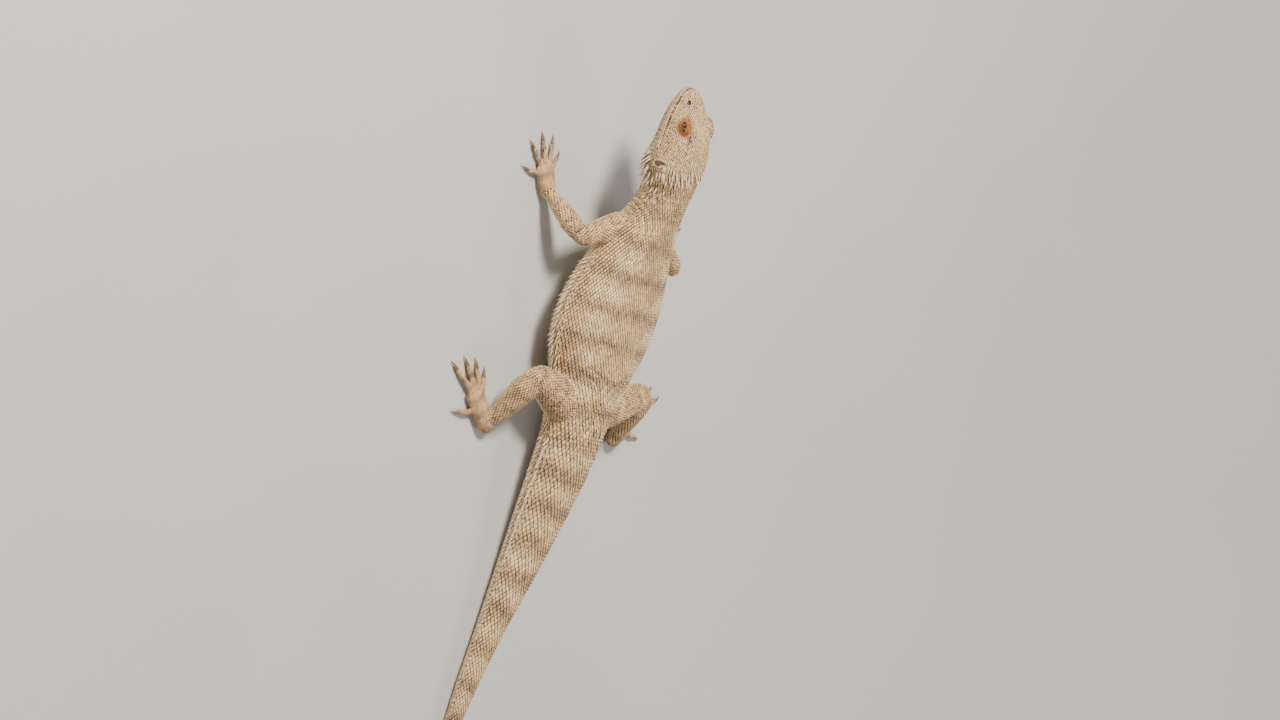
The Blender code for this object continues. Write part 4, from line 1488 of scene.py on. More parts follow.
@dataclass
class Form:
    """One scale or spine, of unit size, in its own across, back and up."""

    places: Array
    crest: Array
    faces: list[list[int]]

    @staticmethod
    def scale(build: Build) -> Form:
        """A scale: a lozenge raised to a low ridge that ends in a point at the rear.

        Args:
            build: how keeled it is.

        Returns:
            Its form, of nineteen points.
        """
        rim, height, shrink, peak = {
            Build.KEELED: (
                ((0.0, 0.84), (-0.47, 0.34), (-0.50, -0.20), (0.0, -0.60), (0.50, -0.20),
                 (0.47, 0.34)),
                0.17, 0.72, (0.48, 0.17),
            ),
            Build.SMOOTH: (
                ((0.0, 0.66), (-0.50, 0.32), (-0.52, -0.24), (0.0, -0.60), (0.52, -0.24),
                 (0.50, 0.32)),
                0.15, 0.76, (0.16, 0.035),
            ),
            Build.GRANULE: (
                ((0.0, 0.56), (-0.50, 0.28), (-0.50, -0.28), (0.0, -0.56), (0.50, -0.28),
                 (0.50, 0.28)),
                0.22, 0.64, (0.0, 0.12),
            ),
        }[build]
        roof = 0.75 if build is Build.KEELED else 0.15
        shape = bmesh.new()
        made = bmesh.ops.create_circle(shape, segments=6, radius=1.0, cap_ends=True)
        for vert, (across, back) in zip(made["verts"], rim):
            vert.co = (across, back, -0.16)
        face = shape.faces[:][0]
        for ring, (wide, rise) in enumerate(((0.97, 0.45), (shrink, 1.0))):
            grown = bmesh.ops.extrude_face_region(shape, geom=[face], use_keep_orig=ring == 0)
            verts = [item for item in grown["geom"] if isinstance(item, bmesh.types.BMVert)]
            if ring:
                bmesh.ops.delete(shape, geom=[face], context="FACES_ONLY")
            face = next(item for item in grown["geom"] if isinstance(item, bmesh.types.BMFace))
            for vert in verts:
                x, y, _ = vert.co
                slope = 0.62 + 0.76 * (y + 0.60) / 1.4
                vert.co.x = x * wide
                vert.co.y = y * (wide if ring == 0 or y < 0.5 else 0.5 + 0.5 * wide)
                vert.co.z = height * rise * slope * (1 - roof * abs(x))
        middle = bmesh.ops.poke(shape, faces=[face])["verts"][0]
        middle.co = (0.0, peak[0], height * (0.62 + 0.76 * (peak[0] + 0.60) / 1.4) + peak[1])
        turned_outward(shape)
        shape.verts.index_update()
        crest = [
            0.0 if vert.co.z < 0 else 1.0 if vert == middle else
            0.16 if math.hypot(vert.co.x, vert.co.y) > 0.462 and vert.co.z < height * 0.62
            else 0.42
            for vert in shape.verts
        ]
        return Form.of(shape, crest)

    @staticmethod
    def of(shape: bmesh.types.BMesh, crest: list[float]) -> Form:
        """The form of a finished bmesh.

        Args:
            shape: the bmesh, which is freed.
            crest: how near the top each of its points is.

        Returns:
            The form.
        """
        places = np.array([vert.co[:] for vert in shape.verts])
        faces = [[vert.index for vert in face.verts] for face in shape.faces]
        shape.free()
        return Form(places, np.array(crest), faces)

    @staticmethod
    def spine(curve: float = 0.16) -> Form:
        """A spine: a cone of six sides with a broad root, bent a little backward.

        Args:
            curve: how far back its point leans, as a share of its length.

        Returns:
            Its form.
        """
        levels = ((-0.20, 0.30), (0.0, 0.27), (0.16, 0.20), (0.40, 0.135), (0.70, 0.075),
                  (0.93, 0.028), (1.0, 0.008))
        turn = np.linspace(0, math.tau, 6, endpoint=False)
        rings = np.array([
            [(r * math.cos(a), r * math.sin(a) * 1.1 + curve * max(z, 0) ** 2, z) for a in turn]
            for z, r in levels
        ])
        shape = bmesh.new()
        add_tube(shape, rings)
        turned_outward(shape)
        shape.verts.index_update()
        return Form.of(shape, [min(max(vert.co.z, 0.0), 1.0) for vert in shape.verts])


@dataclass
class Coat:
    """Many copies of forms joined in one piece, each on its own root."""

    name: str
    slot: str
    lowest: float = 0.00002
    patch_half: float = 0.0014

    def build(
        self, roots: Roots, marks: Marks, forms: dict[int, Form], shares: Array,
        lean: Array, spread: np.random.Generator,
    ) -> Piece:
        """Builds the piece.

        Args:
            roots: where the copies stand; their build picks the form.
            marks: the markings at the roots.
            forms: the form for each build's number.
            shares: each copy's across, back and up sizes.
            lean: how far each copy's up leans backward, in radians.
            spread: the source of the small differences among the copies.

        Returns:
            The piece's object.
        """
        places, crests, values, patches, corners, starts = [], [], [], [], [], []
        count, loops = 0, 0
        tint = spread.random(len(roots.place))
        for number, form in forms.items():
            index = np.flatnonzero(roots.build == number)
            if not len(index):
                continue
            out, back = roots.outward[index], roots.backward[index]
            side = np.cross(back, out)
            tip, tilt = np.cos(lean[index])[:, None], np.sin(lean[index])[:, None]
            up, rear = out * tip + back * tilt, back
            scaled = form.places[None] * shares[index][:, None, :]
            spots = (
                roots.place[index][:, None]
                + side[:, None] * scaled[..., :1]
                + rear[:, None] * scaled[..., 1:2]
                + up[:, None] * scaled[..., 2:]
            )
            per = len(form.places)
            places.append(spots.reshape(-1, 3))
            crests.append(np.tile(form.crest, len(index)))
            values.append(np.repeat(index, per))
            reach = np.abs(form.places[:, :2]).max()
            flat = form.places[:, :2] / reach * self.patch_half
            patches.append((roots.patch[index][:, None] + flat[None]).reshape(-1, 2))
            lengths = np.array([len(face) for face in form.faces])
            flat_faces = np.concatenate([np.array(face) for face in form.faces])
            offset = count + np.arange(len(index)) * per
            corners.append((flat_faces[None] + offset[:, None]).ravel())
            first = np.concatenate([[0], np.cumsum(lengths)[:-1]])
            total = len(flat_faces)
            starts.append((first[None] + loops + np.arange(len(index))[:, None] * total).ravel())
            count += len(index) * per
            loops += len(index) * total
        spots, owner = np.concatenate(places), np.concatenate(values)
        spots[:, 2] = np.maximum(spots[:, 2], self.lowest)
        corner, start = np.concatenate(corners), np.concatenate(starts)
        mesh = bpy.data.meshes.new(self.name)
        mesh.vertices.add(len(spots))
        mesh.vertices.foreach_set("co", spots.ravel().astype(np.float32))
        mesh.loops.add(len(corner))
        mesh.loops.foreach_set("vertex_index", corner.astype(np.int32))
        mesh.polygons.add(len(start))
        mesh.polygons.foreach_set("loop_start", start.astype(np.int32))
        mesh.update(calc_edges=True)
        mesh.shade_smooth()
        set_values(mesh, "crest", np.concatenate(crests))
        set_values(mesh, "tint", tint[owner])
        for name in Marks.NAMES:
            set_values(mesh, name, getattr(marks, name)[owner])
        layer = mesh.uv_layers.new(name="OFBake")
        layer.data.foreach_set(
            "uv", np.concatenate(patches)[corner].ravel().astype(np.float32)
        )
        piece = bpy.data.objects.new(self.name, mesh)
        bpy.context.scene.collection.objects.link(piece)
        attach(piece, BODY)
        LOG.info("%s: %d copies, %d faces", self.name, len(roots.place), len(start))
        return piece


@dataclass
class SpecialScales:
    """The scales of the head that don't follow the lattice.

    A row of lips or lids has how far it is from the mouth's line or the opening, and its scales'
    size. A rim has its radii, and its scales' count, size and build.
    """

    lattice: Lattice
    skin: Skin
    mouth_corner: float = 0.0170
    mouth_front: float = 0.0492
    lip_rows: tuple[Pair, ...] = (
        (0.00070, 0.00135), (-0.00074, 0.00135), (0.0018, 0.00125), (-0.0019, 0.00125),
    )
    lid_rows: tuple[Pair, ...] = (
        (0.00030, 0.00066), (0.00088, 0.00070), (0.00150, 0.00076), (0.00218, 0.00084),
    )
    brow_count: int = 8
    nostril_rim: tuple = ((0.00185, 0.00155), 9, 0.00100, 2)
    ear_rim: tuple = ((0.0026, 0.0034), 16, 0.00125, 0)

    def roots(self) -> Roots:
        """All of them: lips, lids, brows, and the rims of the nostrils and ears."""
        return Roots.joined([*self.lips(), *self.lids(), *self.brows(), *self.rims()])

    def patch_of(self, spots: Array) -> tuple[Array, Array]:
        """Where points of the head are in the unwrap and along the body.

        Args:
            spots: the points.

        Returns:
            Their places in the unwrap, and their places along.
        """
        trunk = self.skin.flesh.trunk
        local = trunk.head_places(spots)
        along = trunk.joint + np.clip(local[:, 0], 0, trunk.head_length)
        turn = np.mod(np.arctan2(local[:, 2], local[:, 1]) / math.tau, 1.0)
        u, v, wide, high = self.lattice.cell(0)
        share = (along - trunk.first) / (trunk.last - trunk.first)
        return np.stack([u + wide * turn, v + high * share], axis=1), along

    def settled(self, spots: list, ways: list, sizes: list, build: int) -> Roots:
        """Roots on the head's skin.

        Args:
            spots: points near the skin.
            ways: the way that each scale's point lies.
            sizes: the scales' sizes.
            build: the number of their build.

        Returns:
            The roots, at the skin's nearest points.
        """
        points = np.array(spots)
        patch, along = self.patch_of(points)
        count = len(points)
        return self.lattice.on_skin(Roots(
            points, points, unit(np.array(ways)), np.array(sizes), patch, np.zeros(count, int),
            along, np.full(count, build),
        ))

    def mouth_path(self, high: float) -> Array:
        """Points along the lips, round the snout from one corner of the mouth to the other.

        Args:
            high: how far above the mouth's line they run.

        Returns:
            Points every 0.1 mm or so.
        """
        trunk = self.skin.flesh.trunk
        ahead = np.linspace(self.mouth_corner, self.mouth_front, 160)
        left = []
        for place in ahead:
            angle = trunk.around_at_height(trunk.joint + place, high)
            fields = trunk.fields(np.array([trunk.joint + place]))
            across, up = outline(fields, np.array([angle]), -trunk.inset)
            left.append((place, across[0], up[0] + fields[0, 1]))
        line = np.array(left)
        front = np.array([
            (self.mouth_front + 0.0011 * math.sin(t), line[-1, 1] * math.cos(t), line[-1, 2])
            for t in np.linspace(0.1, math.pi - 0.1, 30)
        ])
        other = line[::-1] * (1, -1, 1)
        local = np.concatenate([line, front, other])
        return np.array([trunk.head_point(spot) for spot in local])

    def lips(self) -> list[Roots]:
        """Rows of smooth shields above and below the line of the mouth.

        Returns:
            The roots of each row.
        """
        found = []
        for high, size in self.lip_rows:
            line = self.mouth_path(high)
            arc = arc_lengths(line)
            count = int(round(arc[-1] / size))
            stops = (np.arange(count) + 0.5) * arc[-1] / count
            spots = [np.array([np.interp(s, arc, line[:, i]) for i in range(3)]) for s in stops]
            ahead = [np.array([np.interp(s + 0.0003, arc, line[:, i]) for i in range(3)])
                     for s in stops]
            half = arc[-1] / 2
            ways = [(a - b) * (1 if s > half else -1) for s, a, b in zip(stops, ahead, spots)]
            found.append(self.settled(spots, ways, [size] * count, 1))
        return found

    def lids(self) -> list[Roots]:
        """Rows of granules round the lids' opening, larger outward.

        Returns:
            The roots of each eye.
        """
        found = []
        eye, trunk = self.skin.eye, self.skin.flesh.trunk
        for side in Side:
            centre, outward, long_way, high_way = eye.directions(trunk, side)
            spots, ways, sizes = [], [], []
            for row, (wider, size) in enumerate(self.lid_rows):
                line = lid_line(eye, wider, 200)
                closed = np.concatenate([line, line[:1]])
                arc = arc_lengths(closed)
                count = int(arc[-1] / size)
                for k in range(count):
                    stop = (k + 0.5 * (row % 2)) / count * arc[-1]
                    x, y = (np.interp(stop, arc, closed[:, i]) for i in (0, 1))
                    start = centre + long_way * x + high_way * y + outward * 0.010
                    hit, _, _, _ = self.lattice.surface.ray_cast(start, -outward, 0.012)
                    if hit is not None:
                        spots.append(np.array(hit))
                        ways.append(long_way * x + high_way * y)
                        sizes.append(size)
            found.append(self.settled(spots, ways, sizes, 2))
        return found

    def brows(self) -> list[Roots]:
        """A row of long keeled scales along each brow.

        Returns:
            The roots of each brow.
        """
        found = []
        for side in Side:
            centre, (along, across, up), (half, _, _) = self.skin.brow_ball(side)
            outer = across * side.value * (1 if across @ (1, 0, 0) > 0 else -1)
            spots, ways, sizes = [], [], []
            for share in np.linspace(-0.95, 0.95, self.brow_count):
                spots.append(centre + along * half * share + outer * 0.0018)
                ways.append(-along + outer * 0.45)
                sizes.append(0.0019 - 0.0005 * abs(share))
            found.append(self.settled(spots, ways, sizes, 0))
        return found

    def rims(self) -> list[Roots]:
        """Rings of small scales round the nostrils and the ears.

        Returns:
            The roots of each ring.
        """
        found = []
        for side in Side:
            spot, opens = self.skin.nostril_seat(side)
            across = unit(np.cross(UP, opens))
            high = np.cross(opens, across)
            cup, (ear_across, _, ear_high) = self.skin.ear_seat(side)
            for middle, first, second, (radii, count, size, build) in (
                (spot, across, high, self.nostril_rim),
                (cup, ear_across, ear_high, self.ear_rim),
            ):
                spots, ways, sizes = [], [], []
                for turn in np.linspace(0, math.tau, count, endpoint=False):
                    reach = first * math.cos(turn) * radii[0] + second * math.sin(turn) * radii[1]
                    spots.append(middle + reach)
                    ways.append(-reach if build == 0 else reach)
                    sizes.append(size)
                found.append(self.settled(spots, ways, sizes, build))
        return found


@dataclass
class SpineRows:
    """The spines: rows along the flanks and the back, and bands round the throat and nape.

    A row has its first and last place along, its count, its angle and its first and last size, and
    a mirror image. A band has its place ahead of the head's joint, its first and last angle, its
    count and its size, and a mirror image unless it crosses the middle.
    """

    lattice: Lattice
    skin: Skin
    spread: np.random.Generator
    tilt: float = math.radians(48)
    rows: Table = (
        (0.0845, 0.0602, 9, -4, 0.0040, 0.0049),
        (0.0578, 0.0205, 14, -4, 0.0049, 0.0038),
        (0.0860, 0.0205, 24, 3, 0.0030, 0.0034),
        (0.0825, 0.0245, 22, -14, 0.0034, 0.0034),
        (0.0800, 0.0245, 18, -24, 0.0023, 0.0024),
        (0.1120, -0.0060, 27, 62, 0.0019, 0.0020),
        (0.1085, 0.0210, 20, 40, 0.0019, 0.0019),
        (0.1080, 0.0000, 26, 18, 0.0019, 0.0017),
        (0.0900, 0.0200, 19, 7, 0.0026, 0.0026),
        (0.0950, 0.0120, 18, 82, 0.0014, 0.0014),
        (-0.0190, -0.0920, 29, 4, 0.0045, 0.0038),
        (-0.0200, -0.0920, 26, -12, 0.0035, 0.0030),
        (-0.0200, -0.0920, 24, 14, 0.0028, 0.0024),
        (-0.0210, -0.0920, 21, 26, 0.0022, 0.0019),
        (-0.0220, -0.0920, 20, 48, 0.0022, 0.0019),
        (-0.0950, -0.1800, 32, 4, 0.0032, 0.0020),
        (-0.0950, -0.1700, 26, -12, 0.0024, 0.0017),
        (-0.0960, -0.1750, 24, 48, 0.0018, 0.0013),
        (-0.0960, -0.1700, 22, 26, 0.0018, 0.0013),
        (-0.1820, -0.2450, 26, 4, 0.0018, 0.0010),
    )
    bands: Table = (
        (0.0016, -5, -175, 27, 0.0042), (0.0036, -10, -170, 29, 0.0044),
        (0.0056, -5, -175, 31, 0.0042), (0.0076, -9, -171, 29, 0.0040),
        (0.0096, -7, -173, 28, 0.0037), (0.0116, -11, -169, 26, 0.0033),
        (0.0136, -13, -167, 24, 0.0028), (0.0158, -16, -164, 21, 0.0023),
        (0.0182, -20, -160, 18, 0.0019), (0.0210, -24, -156, 15, 0.0016),
        (0.0240, -30, -150, 13, 0.0014), (-0.0008, 0, -180, 29, 0.0046),
        (-0.0034, -6, -174, 26, 0.0038),
        (-0.0002, 28, 152, 15, 0.0040), (0.0026, 32, 148, 14, 0.0041),
        (0.0054, 36, 144, 13, 0.0032), (0.0084, 42, 138, 11, 0.0023), (0.0116, 48, 132, 8, 0.0017),
        (0.0030, 9, 25, 4, 0.0044), (0.0070, 14, 32, 5, 0.0032), (0.0104, 18, 36, 5, 0.0023),
        (-0.0070, 4, 30, 5, 0.0034), (-0.0135, -2, 28, 5, 0.0030), (-0.0105, 0, 40, 5, 0.0022),
        (-0.0195, 55, 125, 8, 0.0020), (-0.0100, 50, 130, 8, 0.0020), (-0.0150, 60, 120, 6, 0.0016),
        (-0.0060, -20, -160, 14, 0.0026), (-0.0110, -24, -156, 12, 0.0018),
    )
    leg_rows: tuple[tuple, ...] = (
        ("thigh", (0.40, 0.50, 0.60, 0.70, 0.80, 0.90), (8, 35, 62, 89), 0.0020),
        ("shin", (0.25, 0.38, 0.51, 0.64, 0.77), (20, 60, 100), 0.0016),
        ("upper_arm", (0.35, 0.50, 0.65, 0.80), (30, 70), 0.0014),
        ("forearm", (0.25, 0.38, 0.51, 0.64, 0.77), (30, 65, 100), 0.0016),
    )

    def roots(self) -> Roots:
        """Lays the rows and bands and the few spines of the legs.

        Returns:
            All the spines' roots.
        """
        found = []
        joint = self.skin.flesh.trunk.joint
        for first, last, count, degrees, first_size, last_size in self.rows:
            for mirror in (False, True):
                turn = math.radians(180 - degrees if mirror else degrees)
                share = np.linspace(0, 1, int(count))
                along = first + (last - first) * share
                along = along + self.spread.uniform(-0.0003, 0.0003, len(along))
                around = turn + self.spread.uniform(-0.03, 0.03, len(along))
                size = first_size + (last_size - first_size) * share
                found.append(self.lattice.settled("trunk", along, around, size))
        for ahead, first, last, count, size in self.bands:
            spans = [(first, last)]
            if abs(first + last) != 180:
                spans.append((180 - last, 180 - first))
            for low, high in spans:
                around = np.radians(np.linspace(low, high, int(count)))
                around = around + self.spread.uniform(-0.05, 0.05, len(around))
                along = np.full(len(around), joint + ahead)
                along = along + self.spread.uniform(-0.0009, 0.0009, len(along))
                middle = smooth_step(0.9, 0.2, np.abs(np.cos(around)))
                throat = np.sin(around) < -0.2
                sizes = size * np.where(throat, 1 - 0.32 * middle, 1.0)
                found.append(self.lattice.settled("trunk", along, around, sizes))
        for name, shares, angles, size in self.leg_rows:
            for side in Side:
                whole = f"{name}_{side.label}"
                along = np.array(shares) * self.skin.flesh.tubes[whole].length
                sizes = np.full(len(along), size)
                for angle in angles:
                    turn = math.radians(180 - angle if side is Side.RIGHT else angle)
                    around = np.full(len(along), turn)
                    found.append(self.lattice.settled(whole, along, around, sizes))
        roots = Roots.joined(found)
        roots.size = roots.size * self.spread.uniform(0.88, 1.1, len(roots.size))
        roots.build[:] = 0
        return roots


@dataclass
class Eye:
    """An eyeball: a dark pupil in a golden brown iris."""

    seat: EyeSeat
    side: Side
    bulge: float = 0.02

    def build(self, trunk: Trunk) -> Piece:
        """Builds the eyeball, with its angle from the gaze stored at each vertex.

        Args:
            trunk: the body with the head.

        Returns:
            The eyeball's object.
        """
        name = f"eyeball_{self.side.label}"
        centre, outward, long_way, high_way = self.seat.directions(trunk, self.side)
        shape = bmesh.new()
        bmesh.ops.create_uvsphere(shape, u_segments=64, v_segments=64, radius=1.0)
        gaze = []
        for vert in shape.verts:
            x, y, z = vert.co
            gaze.append(math.acos(max(-1.0, min(1.0, z))))
            bulge = self.seat.radius * (1.0 + self.bulge * math.exp(-((gaze[-1] / 0.5) ** 2)))
            vert.co = centre + (long_way * x + high_way * y + outward * z) * bulge
        turned_outward(shape)
        piece = mesh_object(name, shape)
        set_values(piece.data, "gaze", np.array(gaze))
        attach(piece, BODY)
        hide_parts(f"eye_{self.side.label}")
        return piece


@dataclass
class Claws:
    """The five hooked claws of a hand or a foot."""

    kind: str
    side: Side
    bends: tuple[Pair, ...] = (
        (0.10, 0.0), (0.14, 0.05), (0.16, 0.14), (0.16, 0.26), (0.16, 0.40), (0.15, 0.54),
        (0.13, 0.66),
    )
    fore_length: float = 0.0048
    hind_length: float = 0.0054
    inside: float = 0.0012
    lift: float = 0.0001
    sides: int = 14
    flatness: float = 0.82
    sharpest: float = 0.00011
    lowest: float = 0.00004

    def build(self, flesh: Flesh) -> Piece:
        """Builds the claws in one piece, in the places of the solids' claws.

        Args:
            flesh: the animal, whose digits carry them.

        Returns:
            The claws' object.
        """
        limb = "hand" if self.kind == "fore" else "foot"
        where = self.side.label
        length = self.fore_length if self.kind == "fore" else self.hind_length
        shape = bmesh.new()
        crest = []
        for number in range(1, 6):
            digit = flesh.tubes[f"{self.kind}_digit_{where}_{number}"]
            way = unit((digit.path[-1] - digit.path[-2]) * (1, 1, 0))
            root = flesh.digit_radius[self.kind] * flesh.digit_taper * 0.66
            spots = [digit.path[-1] - way * self.inside + UP * self.lift]
            spots.append(digit.path[-1] + UP * self.lift)
            for share, drop in self.bends:
                bend = way * math.cos(drop) - UP * math.sin(drop)
                spots.append(spots[-1] + bend * length * share)
            shares = np.concatenate([[-0.2, 0.0], np.cumsum([s for s, _ in self.bends])])
            side_way = np.cross(UP, way)
            rings = []
            for place, share in zip(spots, shares):
                radius = max(root * (1 - max(share, 0.0)) ** 0.75, self.sharpest)
                radius *= 1.12 if 0 <= share < 0.2 else 1.0
                rings.append([
                    place + side_way * radius * self.flatness * math.cos(a)
                    + UP * radius * math.sin(a)
                    for a in np.linspace(0, math.tau, self.sides, endpoint=False)
                ])
                crest.extend([max(share, 0.0)] * self.sides)
            rings = np.array(rings)
            rings[..., 2] += max(0.0, self.lowest - rings[..., 2].min())
            add_tube(shape, rings)
        turned_outward(shape)
        piece = mesh_object(f"claws_{limb}_{where}", shape)
        set_values(piece.data, "crest", np.array(crest))
        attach(piece, BODY)
        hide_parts(*(f"claw_{limb}_{where}_{number}" for number in range(1, 6)))
        return piece


class Graph:
    """A material's nodes, with short ways to add and join them."""

    def __init__(self, name: str) -> None:
        """Starts a material with a Principled shader.

        Args:
            name: the material's name.
        """
        self.material = bpy.data.materials.new(name)
        self.material.use_nodes = True
        self.nodes = self.material.node_tree.nodes
        self.links = self.material.node_tree.links
        self.shader = next(node for node in self.nodes if node.type == "BSDF_PRINCIPLED")

    def add(self, kind: str, inputs: dict | None = None, **settings: object) -> bpy.types.Node:
        """A new node.

        Args:
            kind: the node's type without the ShaderNode prefix.
            inputs: values or sockets for its inputs, by name or number.
            settings: its properties.

        Returns:
            The node.
        """
        node = self.nodes.new(f"ShaderNode{kind}")
        for key, value in settings.items():
            setattr(node, key, value)
        for key, value in (inputs or {}).items():
            self.give(node.inputs[key], value)
        return node

    def give(self, socket: bpy.types.NodeSocket, value: object) -> None:
        """Joins a socket to another, or sets its value.

        Args:
            socket: the input.
            value: a socket, a number or a colour.
        """
        if isinstance(value, bpy.types.NodeSocket):
            self.links.new(value, socket)
        elif isinstance(value, tuple) and len(value) == 3 and socket.type == "RGBA":
            socket.default_value = (*value, 1.0)
        else:
            socket.default_value = value

    def mark(self, name: str) -> bpy.types.NodeSocket:
        """The value stored on the mesh under a name."""
        return self.add("Attribute", attribute_name=name).outputs["Fac"]

    def mix(self, share: object, first: object, second: object) -> bpy.types.NodeSocket:
        """A colour between two."""
        return self.add("Mix", {0: share, 6: first, 7: second}, data_type="RGBA").outputs[2]

    def spread(self, value: object, low: float, high: float, to: Pair = (0, 1),
               smooth: bool = True) -> bpy.types.NodeSocket:
        """A value moved from one range to another and held inside it.

        Args:
            value: the value.
            low: the first range's start.
            high: its end.
            to: the second range.
            smooth: whether the change eases in and out.

        Returns:
            The new value.
        """
        return self.add(
            "MapRange",
            {"Value": value, "From Min": low, "From Max": high, "To Min": to[0], "To Max": to[1]},
            interpolation_type="SMOOTHSTEP" if smooth else "LINEAR",
        ).outputs["Result"]

    def noise(self, scale: float, detail: float = 3.0) -> bpy.types.NodeSocket:
        """Noise in the object's own coordinates."""
        where = self.add("TexCoord").outputs["Object"]
        settings = {"Vector": where, "Scale": scale, "Detail": detail, "Roughness": 0.6}
        return self.add("TexNoise", settings).outputs["Fac"]

    def bump(self, height: object, distance: float) -> None:
        """Gives the shader a fine relief."""
        made = self.add("Bump", {"Height": height, "Distance": distance, "Strength": 1.0})
        self.give(self.shader.inputs["Normal"], made.outputs["Normal"])

    def finish(self, piece: Piece, **inputs: object) -> None:
        """Gives the shader its inputs and puts the material on a piece in place of any other.

        Args:
            piece: the piece.
            inputs: values or sockets by the input's name, with underscores for its spaces.
        """
        for name, value in inputs.items():
            self.give(self.shader.inputs[name.replace("_", " ")], value)
        piece.data.materials.clear()
        piece.data.materials.append(self.material)


@dataclass(frozen=True)
class HideFinish:
    """The colours of the hide, from the marks stored on each scale, with a painted highlight on each
    scale's top.
    """

    name: str = "scales"
    bare: bool = False
    white_tips: bool = False
    sand: Triple = (0.700, 0.425, 0.176)
    clay: Triple = (0.500, 0.290, 0.118)
    cream: Triple = (0.960, 0.735, 0.420)
    brown: Triple = (0.120, 0.064, 0.031)
    rust: Triple = (0.520, 0.135, 0.018)
    # Near black for the beard's dark skin, also used for the painted shade under the chin and throat.
    black: Triple = (0.016, 0.013, 0.012)
    outline: Triple = (0.040, 0.024, 0.015)
    # The pale points of the spines, and the colour of the painted highlight on the scales' tops.
    tip: Triple = (0.74, 0.59, 0.40)

    def dress(self, piece: Piece) -> None:
        """Puts the finish on the bare skin, the scales or the spines.

        Args:
            piece: the piece, with the marks stored on it.
        """
        graph = Graph(self.name)
        patches = graph.spread(graph.noise(130.0, 3.0), 0.38, 0.62)
        colour = graph.mix(patches, self.sand, self.clay)
        grain = graph.noise(420.0, 4.0)
        for name, shade in (("pale", self.cream), ("dark", self.brown), ("rust", self.rust),
                            ("black", self.black)):
            edge = graph.add(
                "Math", {0: graph.mark(name), 1: graph.spread(grain, 0.3, 0.7, (0.82, 1.12))},
                operation="MULTIPLY", use_clamp=True,
            ).outputs[0]
            colour = graph.mix(edge, colour, shade)
        if self.bare:
            colour = graph.mix(0.90, colour, self.outline)
        else:
            light = graph.spread(graph.mark("tint"), 0.0, 1.0, (0.74, 1.24), smooth=False)
            colour = graph.add(
                "HueSaturation",
                {"Color": colour, "Value": light,
                 "Hue": graph.spread(graph.noise(700.0), 0.2, 0.8, (0.49, 0.51))},
            ).outputs["Color"]
            crest = graph.mark("crest")
            if self.white_tips:
                shaft = graph.spread(crest, 0.05, 0.55)
                colour = graph.mix(shaft, graph.mix(0.70, colour, self.outline), self.tip)
            else:
                colour = graph.mix(graph.spread(crest, 0.08, 0.74), self.outline, colour)
                # Painted highlight: each scale's top is lightened towards the pale tip colour, less
                # on the rusty lids.
                ridge = graph.add(
                    "Math", {0: graph.spread(crest, 0.42, 1.0, (0.0, 0.46)),
                             1: graph.spread(graph.mark("rust"), 0.2, 0.9, (1.0, 0.2))},
                    operation="MULTIPLY",
                ).outputs[0]
                colour = graph.mix(ridge, colour, self.tip)
        rough = graph.spread(graph.noise(1100.0, 3.0), 0.3, 0.7, (0.46, 0.68))
        graph.bump(graph.noise(3800.0, 4.0), 0.00004)
        graph.finish(piece, Base_Color=colour, Roughness=rough, Specular_IOR_Level=0.42)


@dataclass(frozen=True)
class EyeFinish:
    """A wet eye with a black pupil, a golden brown iris and a dark rim."""

    pupil: float = 0.205
    iris: float = 0.50

    def dress(self, piece: Piece) -> None:
        """Puts the finish on an eyeball.

        Args:
            piece: the eyeball, with its gaze stored on it.
        """
        graph = Graph("eye")
        gaze = graph.mark("gaze")
        fibres = graph.noise(2600.0, 4.0)
        gold = graph.mix(graph.spread(fibres, 0.3, 0.7), (0.36, 0.17, 0.045), (0.13, 0.05, 0.014))
        outer = graph.spread(gaze, self.pupil + 0.10, self.iris)
        iris = graph.mix(outer, gold, (0.045, 0.018, 0.008))
        inner = graph.spread(gaze, self.pupil - 0.02, self.pupil + 0.02)
        colour = graph.mix(inner, (0.002, 0.002, 0.002), iris)
        rim = graph.spread(gaze, self.iris - 0.03, self.iris + 0.06)
        colour = graph.mix(rim, colour, (0.018, 0.010, 0.006))
        rough = graph.spread(fibres, 0.2, 0.8, (0.10, 0.16))
        graph.finish(piece, Base_Color=colour, Roughness=rough, Coat_Weight=1.0, Coat_Roughness=0.03)


@dataclass(frozen=True)
class DrumFinish:
    """The thin skin of an eardrum."""

    def dress(self, piece: Piece) -> None:
        """Puts the finish on an eardrum.

        Args:
            piece: the eardrum.
        """
        graph = Graph("eardrum_skin")
        patches = graph.spread(graph.noise(900.0, 3.0), 0.35, 0.65)
        colour = graph.mix(patches, (0.20, 0.125, 0.080), (0.115, 0.065, 0.042))
        rough = graph.spread(graph.noise(2400.0), 0.3, 0.7, (0.34, 0.50))
        graph.bump(graph.noise(3000.0), 0.00003)
        graph.finish(piece, Base_Color=colour, Roughness=rough)


@dataclass(frozen=True)
class HornFinish:
    """Amber horn with darker streaks, darkest at the points."""

    def dress(self, piece: Piece) -> None:
        """Puts the finish on a set of claws.

        Args:
            piece: the claws, with their length stored on them.
        """
        graph = Graph("claw_horn")
        streaks = graph.spread(graph.noise(1400.0, 3.0), 0.35, 0.65)
        horn = graph.mix(streaks, (0.30, 0.155, 0.055), (0.17, 0.080, 0.030))
        colour = graph.mix(graph.spread(graph.mark("crest"), 0.25, 1.0), horn,
                           (0.085, 0.042, 0.020))
        rough = graph.spread(streaks, 0.0, 1.0, (0.24, 0.36))
        graph.bump(graph.noise(2600.0, 2.0), 0.00003)
        graph.finish(piece, Base_Color=colour, Roughness=rough)


